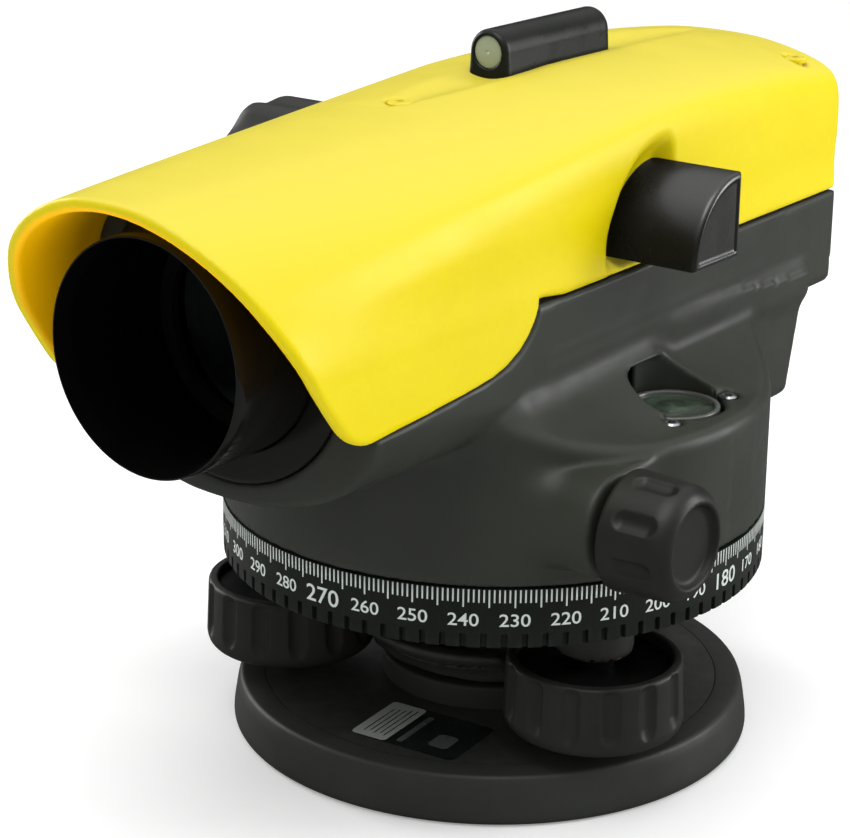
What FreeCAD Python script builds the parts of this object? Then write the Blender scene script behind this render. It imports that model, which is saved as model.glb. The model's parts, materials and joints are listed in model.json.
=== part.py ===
"""Automatic level: a self-levelling surveying telescope on a three-screw levelling base.

Frame: origin at the centre of the base plate's underside, on the vertical axis.
+Z is up, the objective looks along -Y, the eyepiece is at +Y, and +X is the side
that carries the circular level and its viewing mirror. Millimetres throughout.
"""

import FreeCAD
import Part
import math
import os
import Sketcher

from FreeCAD import Placement, Rotation, Vector

doc = FreeCAD.newDocument("automatic_level")
sheet = doc.addObject("Spreadsheet::Sheet", "dim")

ALONG_Z = Rotation()
ALONG_Y = Rotation(Vector(1, 0, 0), -90)
ALONG_X = Rotation(Vector(0, 1, 0), 90)
ALONG_MINUS_X = Rotation(Vector(0, 1, 0), -90)

# ---------------------------------------------------------------- driving dimensions

DIMENSIONS = {
    # base plate and the tripod thread (5/8 inch, 11 turns per inch)
    "base_radius": 48.55,
    "base_shoulder": 46.6,
    "base_height": 9,
    "base_boss_radius": 20.4,
    "base_boss_top": 13.3,
    "thread_radius": 6.8,
    "thread_depth": 11,
    "plate_radius": 42.5,
    "plate_thick": 0.8,
    "plate_screw_circle": 30,
    "plate_screw_radius": 1.2,
    "label_length": 21.6,
    "label_width": 15,
    "label_thick": 0.15,
    "label_corner": 1.2,
    "label_across": 7.6,
    "label_forward": 31.2,
    "label_turn": 5,
    # foot screws
    "foot_circle": 37.7,
    "foot_angle": -25.6,
    "ball_radius": 4,
    "ball_height": 5.6,
    "ball_play": 0.05,
    "foot_neck": 2.4,
    "foot_bottom": 13,
    "foot_top": 26.3,
    "foot_radius": 16,
    "foot_top_radius": 15,
    "foot_recess": 13.2,
    "foot_thread": 3.5,
    "foot_stem_top": 33,
    "foot_flutes": 14,
    "foot_flute_radius": 2.2,
    "foot_flute_depth": 1.3,
    # levelling head
    "hub_bottom": 14.2,
    "hub_radius": 20,
    "hub_top": 22,
    "hub_flare": 27,
    "hub_floor": 18.6,
    "hub_recess_inner": 13.5,
    "hub_recess_outer": 23.2,
    "arm_root": 16,
    "arm_bottom": 27,
    "knob_room": 17.2,
    "head_top": 33.4,
    "arm_radius": 7.6,
    "sleeve_radius": 12,
    "sleeve_top": 62,
    "bush_outer": 9.5,
    "spindle_radius": 7.5,
    "spindle_flange": 20,
    "spindle_screw_circle": 17.7,
    "housing_screw_circle": 38,
    "housing_screw_radius": 1.5,
    "running_gap": 0.05,
    "foot_bush_radius": 5.8,
    "foot_bush_play": 0.9,
    # graduated horizontal circle
    "circle_radius": 50,
    "circle_bottom": 34.2,
    "circle_top": 45,
    "circle_rim": 3,
    "circle_web_bottom": 36,
    "circle_web": 3,
    "knurl_count": 90,
    "knurl_height": 2.7,
    "knurl_width": 1.1,
    "knurl_depth": 0.9,
    # slow-motion drive: worm wheel, worm, shaft and the pair of knobs
    "wheel_teeth": 60,
    "wheel_module": 0.9,
    "wheel_thick": 4,
    "clutch_width": 3,
    "drive_forward": 30.5,
    "drive_height": 57.5,
    "worm_turns": 6,
    "shaft_radius": 2.5,
    "drive_boss": 9.5,
    "drive_boss_end": 46.6,
    "drive_shoulder_rear": -8,
    "drive_shoulder_half": 8.9,
    "drive_knob_start": 47.2,
    "drive_knob_end": 62,
    "drive_knob_radius": 10.4,
    "drive_knob_end_radius": 8,
    "drive_flutes": 8,
    "drive_flute_radius": 3.1,
    "drive_flute_depth": 0.7,
    "knob_pin_depth": 4.9,
    # alidade drum and deck
    "drum_radius": 50,
    "drum_bottom": 45.4,
    "drum_wall": 3,
    "deck_top": 69,
    "deck_thick": 3,
    "cover_plate": 2,
    # telescope body
    "axis_height": 92.1,
    "front_face": 74,
    "rear_face": 74.5,
    "parting": 92,
    "body_wall": 3,
    "belly_bottom": 64.1,
    "rear_half_width": 28,
    "rear_bottom": 72.5,
    "side_bottom": 80,
    "lobe_rear": 66.2,
    "lobe_low_rear": 60.4,
    "lobe_bottom": 53.6,
    "lobe_half_width": 28.6,
    "lobe_low_half_width": 28.2,
    "lobe_corner": 5,
    "neck_half_width": 24,
    # yellow cover with its hood
    "cover_wall": 2.4,
    "cover_gap": 0.12,
    "hood_half_width": 30.6,
    "hood_flare": 1.6,
    "hood_centre": 88,
    "ridge_front": 118.3,
    "ridge_climb": 8.9,
    "ridge_fall": 7,
    "ridge_fall_start": 0.62,
    "rear_arch_centre": 46,
    "cover_screw_rear": 66,
    "cover_screw_side": 22,
    "cover_screw_front": 29,
    "hood_lip_top": 100.5,
    "hood_lip_low": 79.2,
    "hood_edge_height": 80.8,
    "notch_forward": 30,
    "swing_forward": 45,
    "lip_peak": 124,
    "lip_middle": 90.6,
    "lip_middle_height": 96.5,
    # objective
    "tube_radius": 19.3,
    "tube_wall": 1.3,
    "tube_front": 92.5,
    "tube_rear": 50,
    "collar_radius": 24.9,
    "lens_front": 67.5,
    "lens_radius": 17.4,
    "lens_seat": 58,
    # focusing drive
    "focus_axis_rear": 2,
    "focus_axis_height": 95,
    "pinion_module": 0.5,
    "pinion_teeth": 12,
    "focus_boss": 11,
    "focus_boss_end": 35.5,
    "focus_knob_start": 36.2,
    "focus_knob_end": 57.6,
    "focus_knob_radius": 15.8,
    "focus_lobes": 9,
    "focus_lobe_radius": 5.6,
    "focus_lobe_depth": 1.4,
    "guide_front": 54,
    "guide_rear": 6,
    "guide_wall": 2.2,
    "rack_inner": 17.2,
    "rack_outer": 20.3,
    "carriage_centre": 30,
    "carriage_radius": 13.5,
    "carriage_length": 15,
    # circular level
    "bubble_side": 36.8,
    "bubble_rear": 2,
    "bubble_radius": 8.2,
    "bubble_top": 68.2,
    "bubble_bottom": 61.6,
    "bubble_screw_circle": 10.9,
    "bubble_screw_radius": 1.6,
    "bubble_boss": 13.5,
    # compensator
    "frame_half_width": 16,
    "frame_front": 10,
    "frame_rear": 46,
    "frame_bottom": 76.6,
    "frame_top": 112,
    "frame_wall": 2.4,
    "pendulum_centre": 28,
    "pendulum_half_width": 10.5,
    "pendulum_half_length": 7,
    "pendulum_bottom": 84.5,
    "pendulum_top": 104,
    "tape_top": 108.5,
    "prism_half_width": 9,
    "prism_half_height": 6,
    "vane_half_thick": 0.4,
    "magnet_gap": 1,
    "magnet_thick": 1.8,
    # viewing mirror
    "mirror_inner": 28.2,
    "mirror_outer": 44,
    "mirror_bottom": 94.3,
    "mirror_top": 109.2,
    "mirror_rear": 9.7,
    "mirror_front": 4.8,
    # sight
    "sight_front": 4.4,
    "sight_rear": 28.7,
    "sight_top": 130.4,
    "sight_base": 121.6,
    "sight_half_width": 4,
    # eyepiece
    "eyepiece_radius": 12,
    "eyepiece_ring_radius": 15.5,
    "eyepiece_front": 60,
    "eyepiece_end": 84,
    "eyepiece_flange": 17,
    "eyepiece_grooves": 24,
    "reticle_front": 56.2,
    "cell_front": 72,
    "cell_bore": 8.2,
    "eyepiece_rear": 94,
}

for row, (alias, value) in enumerate(DIMENSIONS.items(), start=1):
    sheet.set(f"A{row}", alias)
    sheet.set(f"B{row}", str(value))
    sheet.setAlias(f"B{row}", alias)
doc.recompute()

parts = []


def number(expression):
    """The value in millimetres, or degrees, of an expression on the sheet."""
    return float(sheet.evalExpression(str(expression)))


# ---------------------------------------------------------------- building helpers


def kept(item):
    """Note an object as one of the level's own pieces."""
    parts.append(item)
    return item


def place(item, position=("0", "0", "0"), rotation=ALONG_Z):
    """Put an object at a place bound to the sheet."""
    item.Placement = Placement(Vector(*[number(value) for value in position]), rotation)
    for axis, value in zip("xyz", position):
        item.setExpression(f"Placement.Base.{axis}", value)
    return item


def new_body(label, position=("0", "0", "0"), rotation=ALONG_Z):
    body = doc.addObject("PartDesign::Body", label)
    body.Label = label
    return kept(place(body, position, rotation))


def new_sketch(body, role, lift="0"):
    """A sketch on one of the body's own origin planes, lifted along its normal."""
    sketch = body.newObject("Sketcher::SketchObject", "Sketch")
    plane = next(item for item in body.Origin.OriginFeatures if item.Role == role)
    sketch.AttachmentSupport = (plane, [""])
    sketch.MapMode = "FlatFace"
    sketch.setExpression("AttachmentOffset.Base.z", lift)
    return sketch


def pin_point(sketch, geometry, end, across, up):
    """Hold a point of the sketch at two distances bound to the sheet."""
    for kind, axis, value in (("DistanceX", -2, across), ("DistanceY", -1, up)):
        if abs(number(value)) < 1e-9:
            sketch.addConstraint(Sketcher.Constraint("PointOnObject", geometry, end, axis))
            continue
        index = sketch.addConstraint(Sketcher.Constraint(kind, -1, 1, geometry, end, number(value)))
        sketch.setExpression(f"Constraints[{index}]", value)


def outline(sketch, corners):
    """A closed outline of straight edges through corners given as expressions."""
    points = [Vector(number(across), number(up), 0) for across, up in corners]
    count = len(points)
    for index in range(count):
        sketch.addGeometry(Part.LineSegment(points[index], points[(index + 1) % count]))
    for index in range(count):
        sketch.addConstraint(Sketcher.Constraint("Coincident", index, 2, (index + 1) % count, 1))
    for index, (across, up) in enumerate(corners):
        pin_point(sketch, index, 1, across, up)


def circle(sketch, across, up, radius):
    """A circle whose centre and radius are bound to the sheet."""
    centre = Vector(number(across), number(up), 0)
    index = sketch.addGeometry(Part.Circle(centre, Vector(0, 0, 1), number(radius)))
    pin_point(sketch, index, 3, across, up)
    size = sketch.addConstraint(Sketcher.Constraint("Radius", index, number(radius)))
    sketch.setExpression(f"Constraints[{size}]", radius)


def turned(label, corners, position=("0", "0", "0"), rotation=ALONG_Z):
    """A body turned about its own Z axis from an outline of radius and height."""
    body = new_body(label, position, rotation)
    turn(body, corners)
    return body


def turn(body, corners):
    sketch = new_sketch(body, "XZ_Plane")
    outline(sketch, corners)
    feature = body.newObject("PartDesign::Revolution", "Turned")
    feature.Profile = (sketch, [""])
    feature.ReferenceAxis = (sketch, ["V_Axis"])
    feature.Angle = 360
    sketch.Visibility = False


def tube(label, outer, inner, low, high, position=("0", "0", "0"), rotation=ALONG_Z):
    """A plain ring or sleeve."""
    corners = [(inner, low), (outer, low), (outer, high), (inner, high)]
    return turned(label, corners, position, rotation)


def disc(label, radius, low, high, position=("0", "0", "0"), rotation=ALONG_Z):
    """A plain solid disc or rod."""
    corners = [("0", low), (radius, low), (radius, high), ("0", high)]
    return turned(label, corners, position, rotation)


def cut(body, draw, depth, lift="0"):
    """Take material away above a height, and make sure that some really went."""
    doc.recompute()
    before = body.Shape.Volume
    sketch = new_sketch(body, "XY_Plane", lift)
    draw(sketch)
    feature = body.newObject("PartDesign::Pocket", "Pocket")
    feature.Profile = (sketch, [""])
    feature.Reversed = True
    feature.setExpression("Length", depth)
    doc.recompute()
    if body.Shape.Volume > before - 1e-3:
        raise RuntimeError(f"{body.Label}: a pocket took nothing away")
    return feature


def repeat(body, feature, count):
    """Repeat a feature evenly about the body's Z axis."""
    axis = next(item for item in body.Origin.OriginFeatures if item.Role == "Z_Axis")
    pattern = body.newObject("PartDesign::PolarPattern", "Around")
    pattern.Originals = [feature]
    pattern.Axis = (axis, [""])
    pattern.Angle = 360
    pattern.setExpression("Occurrences", count)
    body.Tip = pattern
    doc.recompute()
    return pattern


def primitive(kind, position=("0", "0", "0"), rotation=ALONG_Z, **sizes):
    """A Part primitive used as a tool, with its sizes bound to the sheet."""
    item = doc.addObject(f"Part::{kind}", kind)
    for name, expression in sizes.items():
        item.setExpression(name, expression)
    return place(item, position, rotation)


def carved(label, body, tools):
    """A piece made by cutting tools out of a body."""
    parts.remove(body)
    body.Label = f"{label}_blank"
    tool = tools[0]
    if len(tools) > 1:
        tool = doc.addObject("Part::MultiFuse", "Tools")
        tool.Shapes = tools
    item = doc.addObject("Part::Cut", label)
    item.Base = body
    item.Tool = tool
    item.Label = label
    return kept(item)


def grouped(label, members):
    """Identical fasteners or fittings kept together as separate solids."""
    for member in members:
        parts.remove(member)
    item = doc.addObject("Part::Compound", label)
    item.Links = members
    item.Label = label
    return kept(item)


def lens(label, radius, thick, front, bulge_front, bulge_rear):
    """A round lens on the line of sight; a positive bulge is convex."""
    wide = number(radius)
    depth = number(thick)
    glass = Part.makeCylinder(wide, depth + 2 * wide, Vector(0, 0, -wide))
    for bulge, side in ((bulge_front, -1), (bulge_rear, 1)):
        curve = (wide ** 2 + bulge ** 2) / (2 * abs(bulge))
        edge = 0 if side < 0 else depth
        if bulge > 0:
            glass = glass.common(Part.makeSphere(curve, Vector(0, 0, edge + side * (bulge - curve))))
            continue
        flat = Part.makeCylinder(wide + 1, 4 * wide, Vector(0, 0, edge if side < 0 else edge - 4 * wide))
        glass = glass.common(flat)
        glass = glass.cut(Part.makeSphere(curve, Vector(0, 0, edge + side * (bulge + curve))))
    shaped(label, glass, ("0", front, "dim.axis_height"), ALONG_Y)


def shaped(label, shape, position=("0", "0", "0"), rotation=ALONG_Z):
    """A piece whose form is worked out with Part's own functions."""
    item = doc.addObject("Part::Feature", label)
    item.Label = label
    item.Shape = shape
    return kept(place(item, position, rotation))


def rod(radius, start, end, direction, where):
    """A cylinder shape that runs along an axis between two distances from a point."""
    base = where + direction * start
    return Part.makeCylinder(radius, end - start, base, direction)


def block(low, high):
    """A box shape between two corners."""
    size = Vector(*high) - Vector(*low)
    return Part.makeBox(size.x, size.y, size.z, Vector(*low))


def joined(shapes):
    result = shapes[0].fuse(shapes[1:]) if len(shapes) > 1 else shapes[0]
    return result.removeSplitter()


X_AXIS = Vector(1, 0, 0)
Y_AXIS = Vector(0, 1, 0)
Z_AXIS = Vector(0, 0, 1)

# ---------------------------------------------------------------- base plate and foot screws


def foot_angles():
    """Directions of the three foot screws: front right, front left and rear."""
    first = number("dim.foot_angle")
    return {"right": first, "left": first - 120, "rear": first + 120}


def around(radius, angle, height="0"):
    """A position on a circle about the vertical axis."""
    return (f"({radius}) * cos({angle})", f"({radius}) * sin({angle})", height)


def make_base_plate():
    body = turned("base_plate", [
        ("0", "0"),
        ("dim.base_radius - 1", "0"),
        ("dim.base_radius", "0.8"),
        ("dim.base_shoulder + 0.9", "dim.base_height - 1.7"),
        ("dim.base_shoulder", "dim.base_height - 0.5"),
        ("dim.base_shoulder - 1", "dim.base_height"),
        ("dim.plate_radius + 0.1", "dim.base_height"),
        ("dim.plate_radius + 0.1", "dim.base_height - dim.plate_thick"),
        ("dim.base_boss_radius", "dim.base_height - dim.plate_thick"),
        ("dim.base_boss_radius", "dim.base_boss_top - 0.5"),
        ("dim.base_boss_radius - 0.5", "dim.base_boss_top"),
        ("0", "dim.base_boss_top"),
    ])
    cut(body, lambda sketch: circle(sketch, "0", "0", "dim.thread_radius"), "dim.thread_depth")
    socket = "dim.ball_radius + dim.ball_play"
    tools = []
    for angle in foot_angles().values():
        position = around("dim.foot_circle", angle, "dim.ball_height")
        tools.append(primitive("Sphere", position, Radius=socket))
        tools.append(primitive("Cylinder", position, Radius=socket, Height="6"))
    for angle in screw_angles():
        position = around("dim.plate_screw_circle", angle, "dim.base_height - 5")
        tools.append(primitive("Cylinder", position, Radius="dim.plate_screw_radius + 0.1", Height="6"))
    return carved("base_plate", body, tools)


def screw_angles():
    """Directions of the fixing screws, half way between the foot screws."""
    return [angle + 60 for angle in foot_angles().values()]


def make_spring_plate():
    """The sheet that keeps the ball feet in their sockets."""
    low = "dim.base_height - dim.plate_thick"
    body = tube("spring_plate", "dim.plate_radius", "dim.base_boss_radius + 0.1", low, "dim.base_height")
    tools = []
    for angle in foot_angles().values():
        position = around("dim.foot_circle", angle, "dim.base_height - 2")
        tools.append(primitive("Cylinder", position, Radius="dim.ball_radius - 0.8", Height="4"))
    for angle in screw_angles():
        position = around("dim.plate_screw_circle", angle, low)
        tools.append(primitive("Cone", position, Radius1="dim.plate_screw_radius + 0.2",
                               Radius2="dim.plate_screw_radius + 1.1", Height="dim.plate_thick"))
    carved("spring_plate", body, tools)


def make_spring_plate_screws():
    low = "dim.base_height - dim.plate_thick"
    members = []
    for angle in screw_angles():
        members.append(turned("screw", [
            ("0", "dim.base_height - 4.8"),
            ("dim.plate_screw_radius", "dim.base_height - 4.8"),
            ("dim.plate_screw_radius", low),
            ("dim.plate_screw_radius + 0.95", "dim.base_height - 0.05"),
            ("0.6", "dim.base_height - 0.05"),
            ("0.6", low),
            ("0", low),
        ], around("dim.plate_screw_circle", angle)))
    grouped("spring_plate_screws", members)


def make_base_label():
    """A plain data plate on the base, with no lettering."""
    long = number("dim.label_length")
    wide = number("dim.label_width")
    plate = Part.makeBox(long, wide, number("dim.label_thick"), Vector(-long / 2, -wide / 2, 0))
    corners = [edge for edge in plate.Edges if abs(edge.tangentAt(0).z) > 0.9]
    plate = plate.makeFillet(number("dim.label_corner"), corners)
    position = ("dim.label_across", "-dim.label_forward", "dim.base_height + 0.01")
    shaped("base_label", plate, position, Rotation(Z_AXIS, number("dim.label_turn")))


def make_foot_screw(name, angle):
    """A foot screw: a threaded stem with a ball foot, and the fluted knob pressed on it."""
    position = around("dim.foot_circle", angle)
    ball = number("dim.ball_radius")
    centre = Vector(0, 0, number("dim.ball_height"))
    bottom = number("dim.foot_bottom")
    foot = Part.makeSphere(ball, centre)
    foot = foot.fuse(rod(number("dim.foot_neck"), 0, bottom - centre.z, Z_AXIS, centre))
    stem = rod(number("dim.foot_thread"), bottom, number("dim.foot_stem_top"), Z_AXIS, Vector())
    shaped(f"foot_stem_{name}", joined([foot, stem]), position)
    body = turned(f"foot_knob_{name}", [
        ("dim.foot_thread", "dim.foot_bottom"),
        ("dim.foot_radius - 1.8", "dim.foot_bottom"),
        ("dim.foot_radius - 0.5", "dim.foot_bottom + 0.7"),
        ("dim.foot_radius", "dim.foot_bottom + 2.2"),
        ("dim.foot_top_radius", "dim.foot_top - 0.6"),
        ("dim.foot_top_radius - 0.6", "dim.foot_top"),
        ("dim.foot_recess", "dim.foot_top"),
        ("dim.foot_recess", "dim.foot_top - 1.6"),
        ("dim.foot_thread", "dim.foot_top - 1.6"),
    ], position)
    across = "dim.foot_radius + dim.foot_flute_radius - dim.foot_flute_depth"
    flute = cut(body, lambda sketch: circle(sketch, across, "0", "dim.foot_flute_radius"), "20",
                lift="dim.foot_bottom + 3.6")
    repeat(body, flute, "dim.foot_flutes")


# ---------------------------------------------------------------- levelling head


def make_levelling_head():
    """The casting that the foot screws carry: a flared hub, three arms and the axis sleeve."""
    top = number("dim.head_top")
    arm = number("dim.arm_radius")
    reach = number("dim.foot_circle")
    bottom = number("dim.hub_bottom")
    hub = number("dim.hub_radius")
    hub_top = number("dim.hub_top")
    floor = number("dim.hub_floor")
    sleeve = number("dim.sleeve_radius")
    sleeve_top = number("dim.sleeve_top")
    root = number("dim.arm_root")
    flare = Part.makeCone(hub, number("dim.hub_flare"), hub_top - root, Vector(0, 0, root))
    centre = rod(hub, bottom, hub_top, Z_AXIS, Vector()).fuse(flare)
    recess = rod(number("dim.hub_recess_outer"), floor, hub_top + 1, Z_AXIS, Vector())
    recess = recess.cut(rod(number("dim.hub_recess_inner"), floor, hub_top + 1, Z_AXIS, Vector()))
    shapes = [
        centre.cut(recess),
        rod(sleeve, floor, sleeve_top, Z_AXIS, Vector()),
        rod(sleeve + 4, top - 3, top, Z_AXIS, Vector()),
    ]
    tools = [rod(number("dim.bush_outer"), bottom + 3, sleeve_top + 1, Z_AXIS, Vector())]
    for angle in foot_angles().values():
        outward = Rotation(Z_AXIS, angle)
        web = block((0, -arm, root), (reach, arm, top))
        web.Placement = Placement(Vector(), outward)
        screw = outward.multVec(Vector(reach, 0, 0))
        shapes.append(web)
        shapes.append(rod(arm, root, top, Z_AXIS, screw))
        tools.append(rod(number("dim.knob_room"), bottom - 1, number("dim.arm_bottom"), Z_AXIS, screw))
        tools.append(rod(number("dim.foot_bush_radius"), root, top + 1, Z_AXIS, screw))
    shaped("levelling_head", joined(shapes).cut(tools).removeSplitter())


def make_head_fittings():
    members = []
    for name, angle in foot_angles().items():
        play = "dim.foot_bush_play" if name == "rear" else "dim.running_gap"
        members.append(tube("bush", "dim.foot_bush_radius", f"dim.foot_thread + {play}",
                            "dim.arm_bottom", "dim.head_top", around("dim.foot_circle", angle)))
    grouped("foot_screw_bushes", members)
    bore = "dim.spindle_radius + dim.running_gap"
    turned("axis_bush", [
        (bore, "dim.hub_bottom + 3"),
        ("dim.bush_outer", "dim.hub_bottom + 3"),
        ("dim.bush_outer", "dim.sleeve_top"),
        ("dim.sleeve_radius", "dim.sleeve_top"),
        ("dim.sleeve_radius", "dim.sleeve_top + 0.98"),
        (bore, "dim.sleeve_top + 0.98"),
    ])


# ---------------------------------------------------------------- horizontal circle


def make_horizontal_circle():
    """The graduated cup that turns on the axis sleeve, knurled along its lower edge."""
    bore = "dim.sleeve_radius + dim.running_gap"
    inside = "dim.circle_radius - dim.circle_rim"
    web_top = "dim.circle_web_bottom + dim.circle_web"
    body = turned("horizontal_circle", [
        (bore, "dim.circle_web_bottom"),
        (inside, "dim.circle_web_bottom"),
        (inside, "dim.circle_bottom"),
        ("dim.circle_radius - 0.3", "dim.circle_bottom"),
        ("dim.circle_radius", "dim.circle_bottom + 0.3"),
        ("dim.circle_radius", "dim.circle_top - 0.2"),
        ("dim.circle_radius - 0.2", "dim.circle_top"),
        (inside, "dim.circle_top"),
        (inside, web_top),
        (bore, web_top),
    ])

    def notch(sketch):
        inner = "dim.circle_radius - dim.knurl_depth"
        half = "dim.knurl_width / 2"
        outline(sketch, [
            (inner, f"-{half}"),
            ("dim.circle_radius + 1", f"-{half}"),
            ("dim.circle_radius + 1", half),
            (inner, half),
        ])

    groove = cut(body, notch, "dim.knurl_height + 1", lift="dim.circle_bottom - 1")
    repeat(body, groove, "dim.knurl_count")
    tube("circle_friction_ring", "dim.sleeve_radius + 4", "dim.sleeve_radius + 0.3",
         "dim.head_top", "dim.circle_web_bottom - 0.02")


# ---------------------------------------------------------------- slow-motion drive


def toothed(teeth, module, thick, bore, slant=0):
    """A toothed wheel with straight-flanked teeth, slanted for a worm, and a bore."""
    radius = module * teeth / 2
    pitch = math.pi * module
    root = radius - 1.2 * module
    wheel = Part.makeCylinder(root, thick)
    root_half = 0.34 * pitch
    tip_half = 0.13 * pitch
    corners = [
        Vector(root - 0.5, -root_half, 0),
        Vector(radius + 0.9 * module, -tip_half, 0),
        Vector(radius + 0.9 * module, tip_half, 0),
        Vector(root - 0.5, root_half, 0),
    ]
    tooth = Part.Face(Part.makePolygon(corners + corners[:1])).extrude(Vector(0, 0, thick))
    tooth.rotate(Vector(0, 0, thick / 2), X_AXIS, slant)
    ring = []
    for index in range(teeth):
        copy = tooth.copy()
        copy.rotate(Vector(), Z_AXIS, 360 * (index + 0.5) / teeth)
        ring.append(copy)
    wheel = wheel.fuse(ring).removeSplitter()
    return wheel.cut(Part.makeCylinder(bore, thick + 2, Vector(0, 0, -1)))


def make_worm_wheel():
    """The worm wheel, gripped on the axis sleeve by a spring washer."""
    module = number("dim.wheel_module")
    teeth = int(number("dim.wheel_teeth"))
    bore = number("dim.sleeve_radius + dim.running_gap")
    worm_radius = number("dim.drive_forward") - module * teeth / 2
    lead_angle = math.degrees(math.atan(module / 2 / worm_radius))
    wheel = toothed(teeth, module, number("dim.wheel_thick"), bore, lead_angle)
    shaped("worm_wheel", wheel, ("0", "0", "dim.drive_height - dim.wheel_thick / 2"))
    tube("clutch_washer", "dim.sleeve_radius + dim.clutch_width", "dim.sleeve_radius + dim.running_gap",
         "dim.drive_height + dim.wheel_thick / 2", "dim.sleeve_top - 0.2")


def make_worm_drive():
    """The worm on its cross shaft, with a knob at each end."""
    module = number("dim.wheel_module")
    lead = math.pi * module
    pitch_radius = number("dim.drive_forward") - module * number("dim.wheel_teeth") / 2
    root = pitch_radius - 1.1 * module
    turns = int(number("dim.worm_turns"))
    helix = Part.makeHelix(lead, turns * lead, root)
    root_half = 0.3 * lead
    tip_half = 0.1 * lead
    tip = pitch_radius + 0.85 * module
    corners = [
        Vector(root - 0.3, 0, -root_half),
        Vector(tip, 0, -tip_half),
        Vector(tip, 0, tip_half),
        Vector(root - 0.3, 0, root_half),
    ]
    profile = Part.makePolygon(corners + corners[:1])
    thread = Part.Wire(helix).makePipeShell([profile], True, True)
    core = Part.makeCylinder(root, turns * lead + 2 * root_half + 2, Vector(0, 0, -root_half - 1))
    crest = (turns // 2 + 0.25) * lead
    end = number("dim.drive_knob_end") - 5
    shaft = Part.makeCylinder(number("dim.shaft_radius"), 2 * end, Vector(0, 0, crest - end))
    collar = Part.makeCylinder(number("dim.shaft_radius") + 2, 3, Vector(0, 0, crest - 34))
    worm = joined([core, thread, shaft, collar])
    shaped("worm_shaft", worm, (f"-{crest}", "-dim.drive_forward", "dim.drive_height"), ALONG_X)
    centre = ("0", "-dim.drive_forward", "dim.drive_height")
    members = []
    for rotation in (ALONG_X, ALONG_MINUS_X):
        members.append(tube("bush", "dim.shaft_radius + 2", "dim.shaft_radius + dim.running_gap",
                            "dim.drive_boss_end - 9", "dim.drive_boss_end", centre, rotation))
    grouped("drive_bushes", members)
    for name, rotation in (("right", ALONG_X), ("left", ALONG_MINUS_X)):
        knob = turned(f"drive_knob_{name}", [
            ("dim.shaft_radius", "dim.drive_knob_start"),
            ("dim.drive_knob_radius - 1", "dim.drive_knob_start"),
            ("dim.drive_knob_radius", "dim.drive_knob_start + 1.2"),
            ("dim.drive_knob_radius - 0.5", "dim.drive_knob_end - 4.5"),
            ("dim.drive_knob_end_radius", "dim.drive_knob_end - 0.6"),
            ("dim.drive_knob_end_radius - 0.8", "dim.drive_knob_end"),
            ("dim.drive_knob_end_radius - 1.6", "dim.drive_knob_end - 0.6"),
            ("0", "dim.drive_knob_end - 1.4"),
            ("0", "dim.drive_knob_end - dim.knob_pin_depth"),
            ("dim.shaft_radius", "dim.drive_knob_end - dim.knob_pin_depth"),
        ], centre, rotation)
        across = "dim.drive_knob_radius + dim.drive_flute_radius - dim.drive_flute_depth"
        flute = cut(knob, lambda sketch: circle(sketch, across, "0", "dim.drive_flute_radius"), "11.5",
                    lift="dim.drive_knob_start + 3")
        repeat(knob, flute, "dim.drive_flutes")


# ---------------------------------------------------------------- telescope body and cover


def blend(front, rear, part):
    return front + (rear - front) * part


def rearward(y):
    """How far along the telescope a section lies: 0 at the hood's lip, 1 at the rear."""
    lip = number("dim.hood_lip_top")
    return min(max((y + lip) / (number("dim.rear_face") + lip), 0), 1)


def cover_half_width(y):
    return blend(number("dim.hood_half_width"), number("dim.rear_half_width"), rearward(y) ** 1.5)


def cover_top(y):
    """Height of the ridge: it climbs gently from the lip and falls again at the rear."""
    part = rearward(y)
    bend = number("dim.ridge_fall_start")
    falling = max(part - bend, 0) / (1 - bend)
    fall = number("dim.ridge_fall") * falling * part ** 2
    return number("dim.ridge_front") + number("dim.ridge_climb") * part - fall


def cover_outline(y, inset):
    """Points over the cover's section from one side to the other, at a depth below its skin."""
    part = rearward(y)
    half = cover_half_width(y) - inset
    top = cover_top(y) - inset
    spring = number("dim.parting")
    arch_centre = blend(number("dim.hood_centre"), number("dim.rear_arch_centre"), part ** 0.8)
    arch_radius = top - arch_centre
    sharp = blend(9, 15, part)
    points = []
    steps = 24
    for step in range(steps + 1):
        angle = math.pi * step / steps
        across = abs(math.cos(angle))
        to_side = half / max(across, 1e-6)
        rise = math.sin(angle) * (spring - arch_centre)
        to_arch = -rise + math.sqrt(rise ** 2 + arch_radius ** 2 - (spring - arch_centre) ** 2)
        reach = (to_side ** -sharp + to_arch ** -sharp) ** (-1 / sharp)
        points.append(Vector(reach * math.cos(angle), y, spring + reach * math.sin(angle)))
    return points


def cover_section(y, inset, low):
    """One closed section of the cover, with sides that flare slightly below the spring line."""
    points = cover_outline(y, inset)
    flare = number("dim.hood_flare") * (1 - rearward(y))
    arch = Part.BSplineCurve()
    arch.interpolate(points)
    right = Vector(points[0].x + flare, y, low)
    left = Vector(points[-1].x - flare, y, low)
    edges = [
        Part.makeLine(right, points[0]),
        arch.toShape(),
        Part.makeLine(points[-1], left),
        Part.makeLine(left, right),
    ]
    return Part.Wire(edges)


def cover_stations(front, rear):
    inner = [-88, -66, -44, -20, 4, 28, 48, 62]
    return [front] + [y for y in inner if front + 4 < y < rear - 4] + [rear]


def cover_form(inset, front, rear):
    """The solid form under the cover's skin, from the front station to the rear one."""
    low = number("dim.side_bottom") - 12
    sections = [cover_section(y, inset, low) for y in cover_stations(front, rear)]
    return Part.makeLoft(sections, True, False)


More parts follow.
